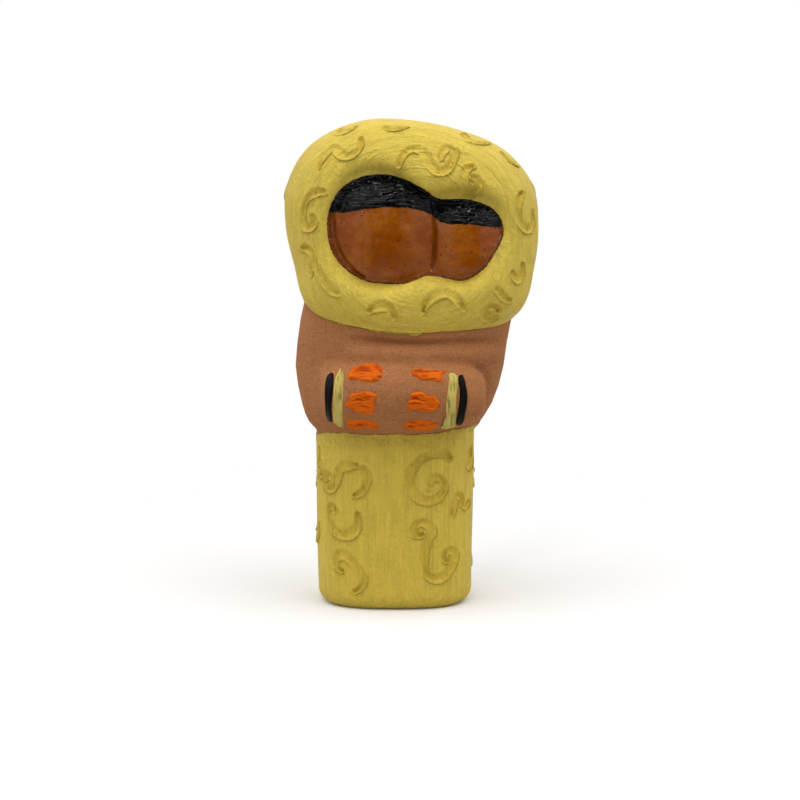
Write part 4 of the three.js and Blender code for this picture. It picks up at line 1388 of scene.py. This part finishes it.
# %% Lay the strokes on the arms
STROKE_THICKNESS = 0.4
RAGGED_DAB, RAGGED_STRIPE = 0.16, 0.1


def corners_middle(outline):
    (left, bottom), (right, top) = np.min(outline, 0), np.max(outline, 0)
    return (left + right) / 2, 0, (bottom + top) / 2


def loop_mesh(name, rows):
    """One closed loop of edges for each stroke, which carries the stroke's middle and its hollow."""
    corners, edges, middles, hollows = [], [], [], []
    for hollow, outline in rows:
        start, count = len(corners), len(outline)
        corners += [(x, 0, z) for x, z in outline]
        edges += [(start + i, start + (i + 1) % count) for i in range(count)]
        middles += [corners_middle(outline)] * count
        hollows += [hollow] * count
    mesh = bpy.data.meshes.new(name)
    mesh.from_pydata(corners, edges, [])
    loops = bpy.data.objects.new(name, mesh)
    bpy.context.collection.objects.link(loops)
    carry(loops, "middle", middles)
    carry(loops, "hollow", hollows)
    return loops


def lay_strokes(name, rows):
    """One piece of closed films, one for each outline."""
    across = name == "orange_dabs"
    strokes = loop_mesh(name, rows)
    places = strokes.data
    nodes = strokes.modifiers.new("impasto", "NODES")
    nodes.node_group = impasto
    wanted = {"Clay": figure, "Paint": paints[name], "Strokes": len(rows), "Thickness": STROKE_THICKNESS,
              "Ragged": RAGGED_DAB if across else RAGGED_STRIPE, "Brushed across": float(across),
              "Seed": 3.0 + len(name)}
    for socket in impasto.interface.items_tree:
        if socket.in_out == "INPUT" and socket.name in wanted:
            nodes[socket.identifier] = wanted[socket.name]
    bpy.context.view_layer.update()
    dressed = strokes.evaluated_get(bpy.context.evaluated_depsgraph_get())
    strokes.data = bpy.data.meshes.new_from_object(dressed)
    strokes.modifiers.clear()
    strokes.data.materials.pop(index=0)  # the empty slot that comes before the paint's
    bpy.data.meshes.remove(places)
    cells = bmesh.new()
    cells.from_mesh(strokes.data)
    bmesh.ops.recalc_face_normals(cells, faces=cells.faces)
    cells.to_mesh(strokes.data)
    cells.free()
    return strokes


stroke_pieces = [lay_strokes(name, rows) for name, rows in STROKES.items()]
for piece in stroke_pieces:
    print(piece.name, "has", len(piece.data.polygons), "faces in", piece.data.materials[0].name)

# %% [markdown]
# ## A plain studio
# The floor is pale and its far part fades out into an equally pale background, so no horizon shows.
# The camera sees the floor paler than it is, so that the floor doesn't throw up too much light.

# %% Set the stage
FLOOR_REACH = 600
FLOOR_SOLID, FLOOR_GONE = 40, 240
FLOOR_SEEN, FLOOR_LIT = (0.95, 0.95, 0.95, 1), (0.66, 0.66, 0.65, 1)

corners = ((-1, -1), (1, -1), (1, 1), (-1, 1))
floor_corners = [(x * FLOOR_REACH * MM, y * FLOOR_REACH * MM, 0) for x, y in corners]
floor_mesh = bpy.data.meshes.new("floor")
floor_mesh.from_pydata(floor_corners, [], [(0, 1, 2, 3)])
floor = bpy.data.objects.new("floor", floor_mesh)
bpy.context.collection.objects.link(floor)

floor_paper, tree = material("pale_paper")
across_floor = {0: place_in_mm(tree)}
from_figure = add(tree, "ShaderNodeVectorMath", across_floor, operation="LENGTH").outputs["Value"]
seen_directly = add(tree, "ShaderNodeLightPath").outputs["Is Camera Ray"]
paper = add(tree, "ShaderNodeBsdfPrincipled", {
    "Base Color": mix_colour(tree, seen_directly, FLOOR_LIT, FLOOR_SEEN),
    "Roughness": 0.9, "Specular IOR Level": 0.0,
    "Alpha": ramp(tree, from_figure, FLOOR_SOLID, FLOOR_GONE, 1.0, 0.0),
})
feed(tree, add(tree, "ShaderNodeOutputMaterial").inputs["Surface"], paper.outputs[0])
floor_mesh.materials.append(floor_paper)
print("the floor fades out", FLOOR_SOLID, "to", FLOOR_GONE, "mm from the figure")

# %% [markdown]
# Most of the light comes from the sky around: it glows at the left, the right and the back, as the
# cloth walls of a light tent do, but not in front, where the camera stands. The glaze mirrors that
# dark front in its middle, which looks deep amber there, and the bright walls at its sides. A soft
# panel hangs above, and one small lamp high in front puts the fine glints on the hair's ridges.

# %% Light the stage
BACKGROUND = 1.0
GLOW, DARKEST = 1.15, 0.02

bpy.context.scene.view_settings.view_transform = "Standard"
world = bpy.data.worlds.new("studio")
bpy.context.scene.world = world
world.use_nodes = True
tree = world.node_tree
tree.nodes.clear()
seen = add(tree, "ShaderNodeBackground", {"Color": (1, 1, 1, 1), "Strength": BACKGROUND})
sky_direction = add(tree, "ShaderNodeTexCoord").outputs["Generated"]
way = add(tree, "ShaderNodeSeparateXYZ", {0: sky_direction}).outputs
sideways = ramp(tree, maths(tree, "ABSOLUTE", way["X"]), 0.24, 0.36)
upwards = ramp(tree, way["Z"], -0.1, 0.6, 0.4, 1.0)
behind = ramp(tree, way["Y"], 0.2, 0.9)
glow = times(tree, maths(tree, "MAXIMUM", sideways, behind), upwards)
glow = maths(tree, "MULTIPLY_ADD", glow, GLOW, DARKEST)
lit = add(tree, "ShaderNodeBackground", {"Color": (1, 1, 1, 1), "Strength": glow})
from_camera = add(tree, "ShaderNodeLightPath").outputs["Is Camera Ray"]
sky = add(tree, "ShaderNodeMixShader", {0: from_camera, 1: lit.outputs[0], 2: seen.outputs[0]})
feed(tree, add(tree, "ShaderNodeOutputWorld").inputs["Surface"], sky.outputs[0])


def softbox(name, place, aim, size, power):
    light = bpy.data.lights.new(name, "AREA")
    light.shape = "RECTANGLE"
    light.size, light.size_y = size
    light.energy = power
    lamp = bpy.data.objects.new(name, light)
    lamp.location = place
    lamp.rotation_euler = (Vector(aim) - Vector(place)).to_track_quat("-Z", "Y").to_euler()
    lamp.visible_camera = False
    bpy.context.collection.objects.link(lamp)


softbox("top_softbox", (0, -0.16, 0.62), (0, 0, 0.07), (0.8, 0.4), 1.85)
softbox("small_lamp", (-0.06, -0.42, 0.53), (0, 0, 0.09), (0.09, 0.06), 0.34)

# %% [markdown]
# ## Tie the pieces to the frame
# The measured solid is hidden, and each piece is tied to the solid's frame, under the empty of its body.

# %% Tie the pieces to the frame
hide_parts("santon_figure")
for piece in [figure, *stroke_pieces]:
    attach(piece, "root")
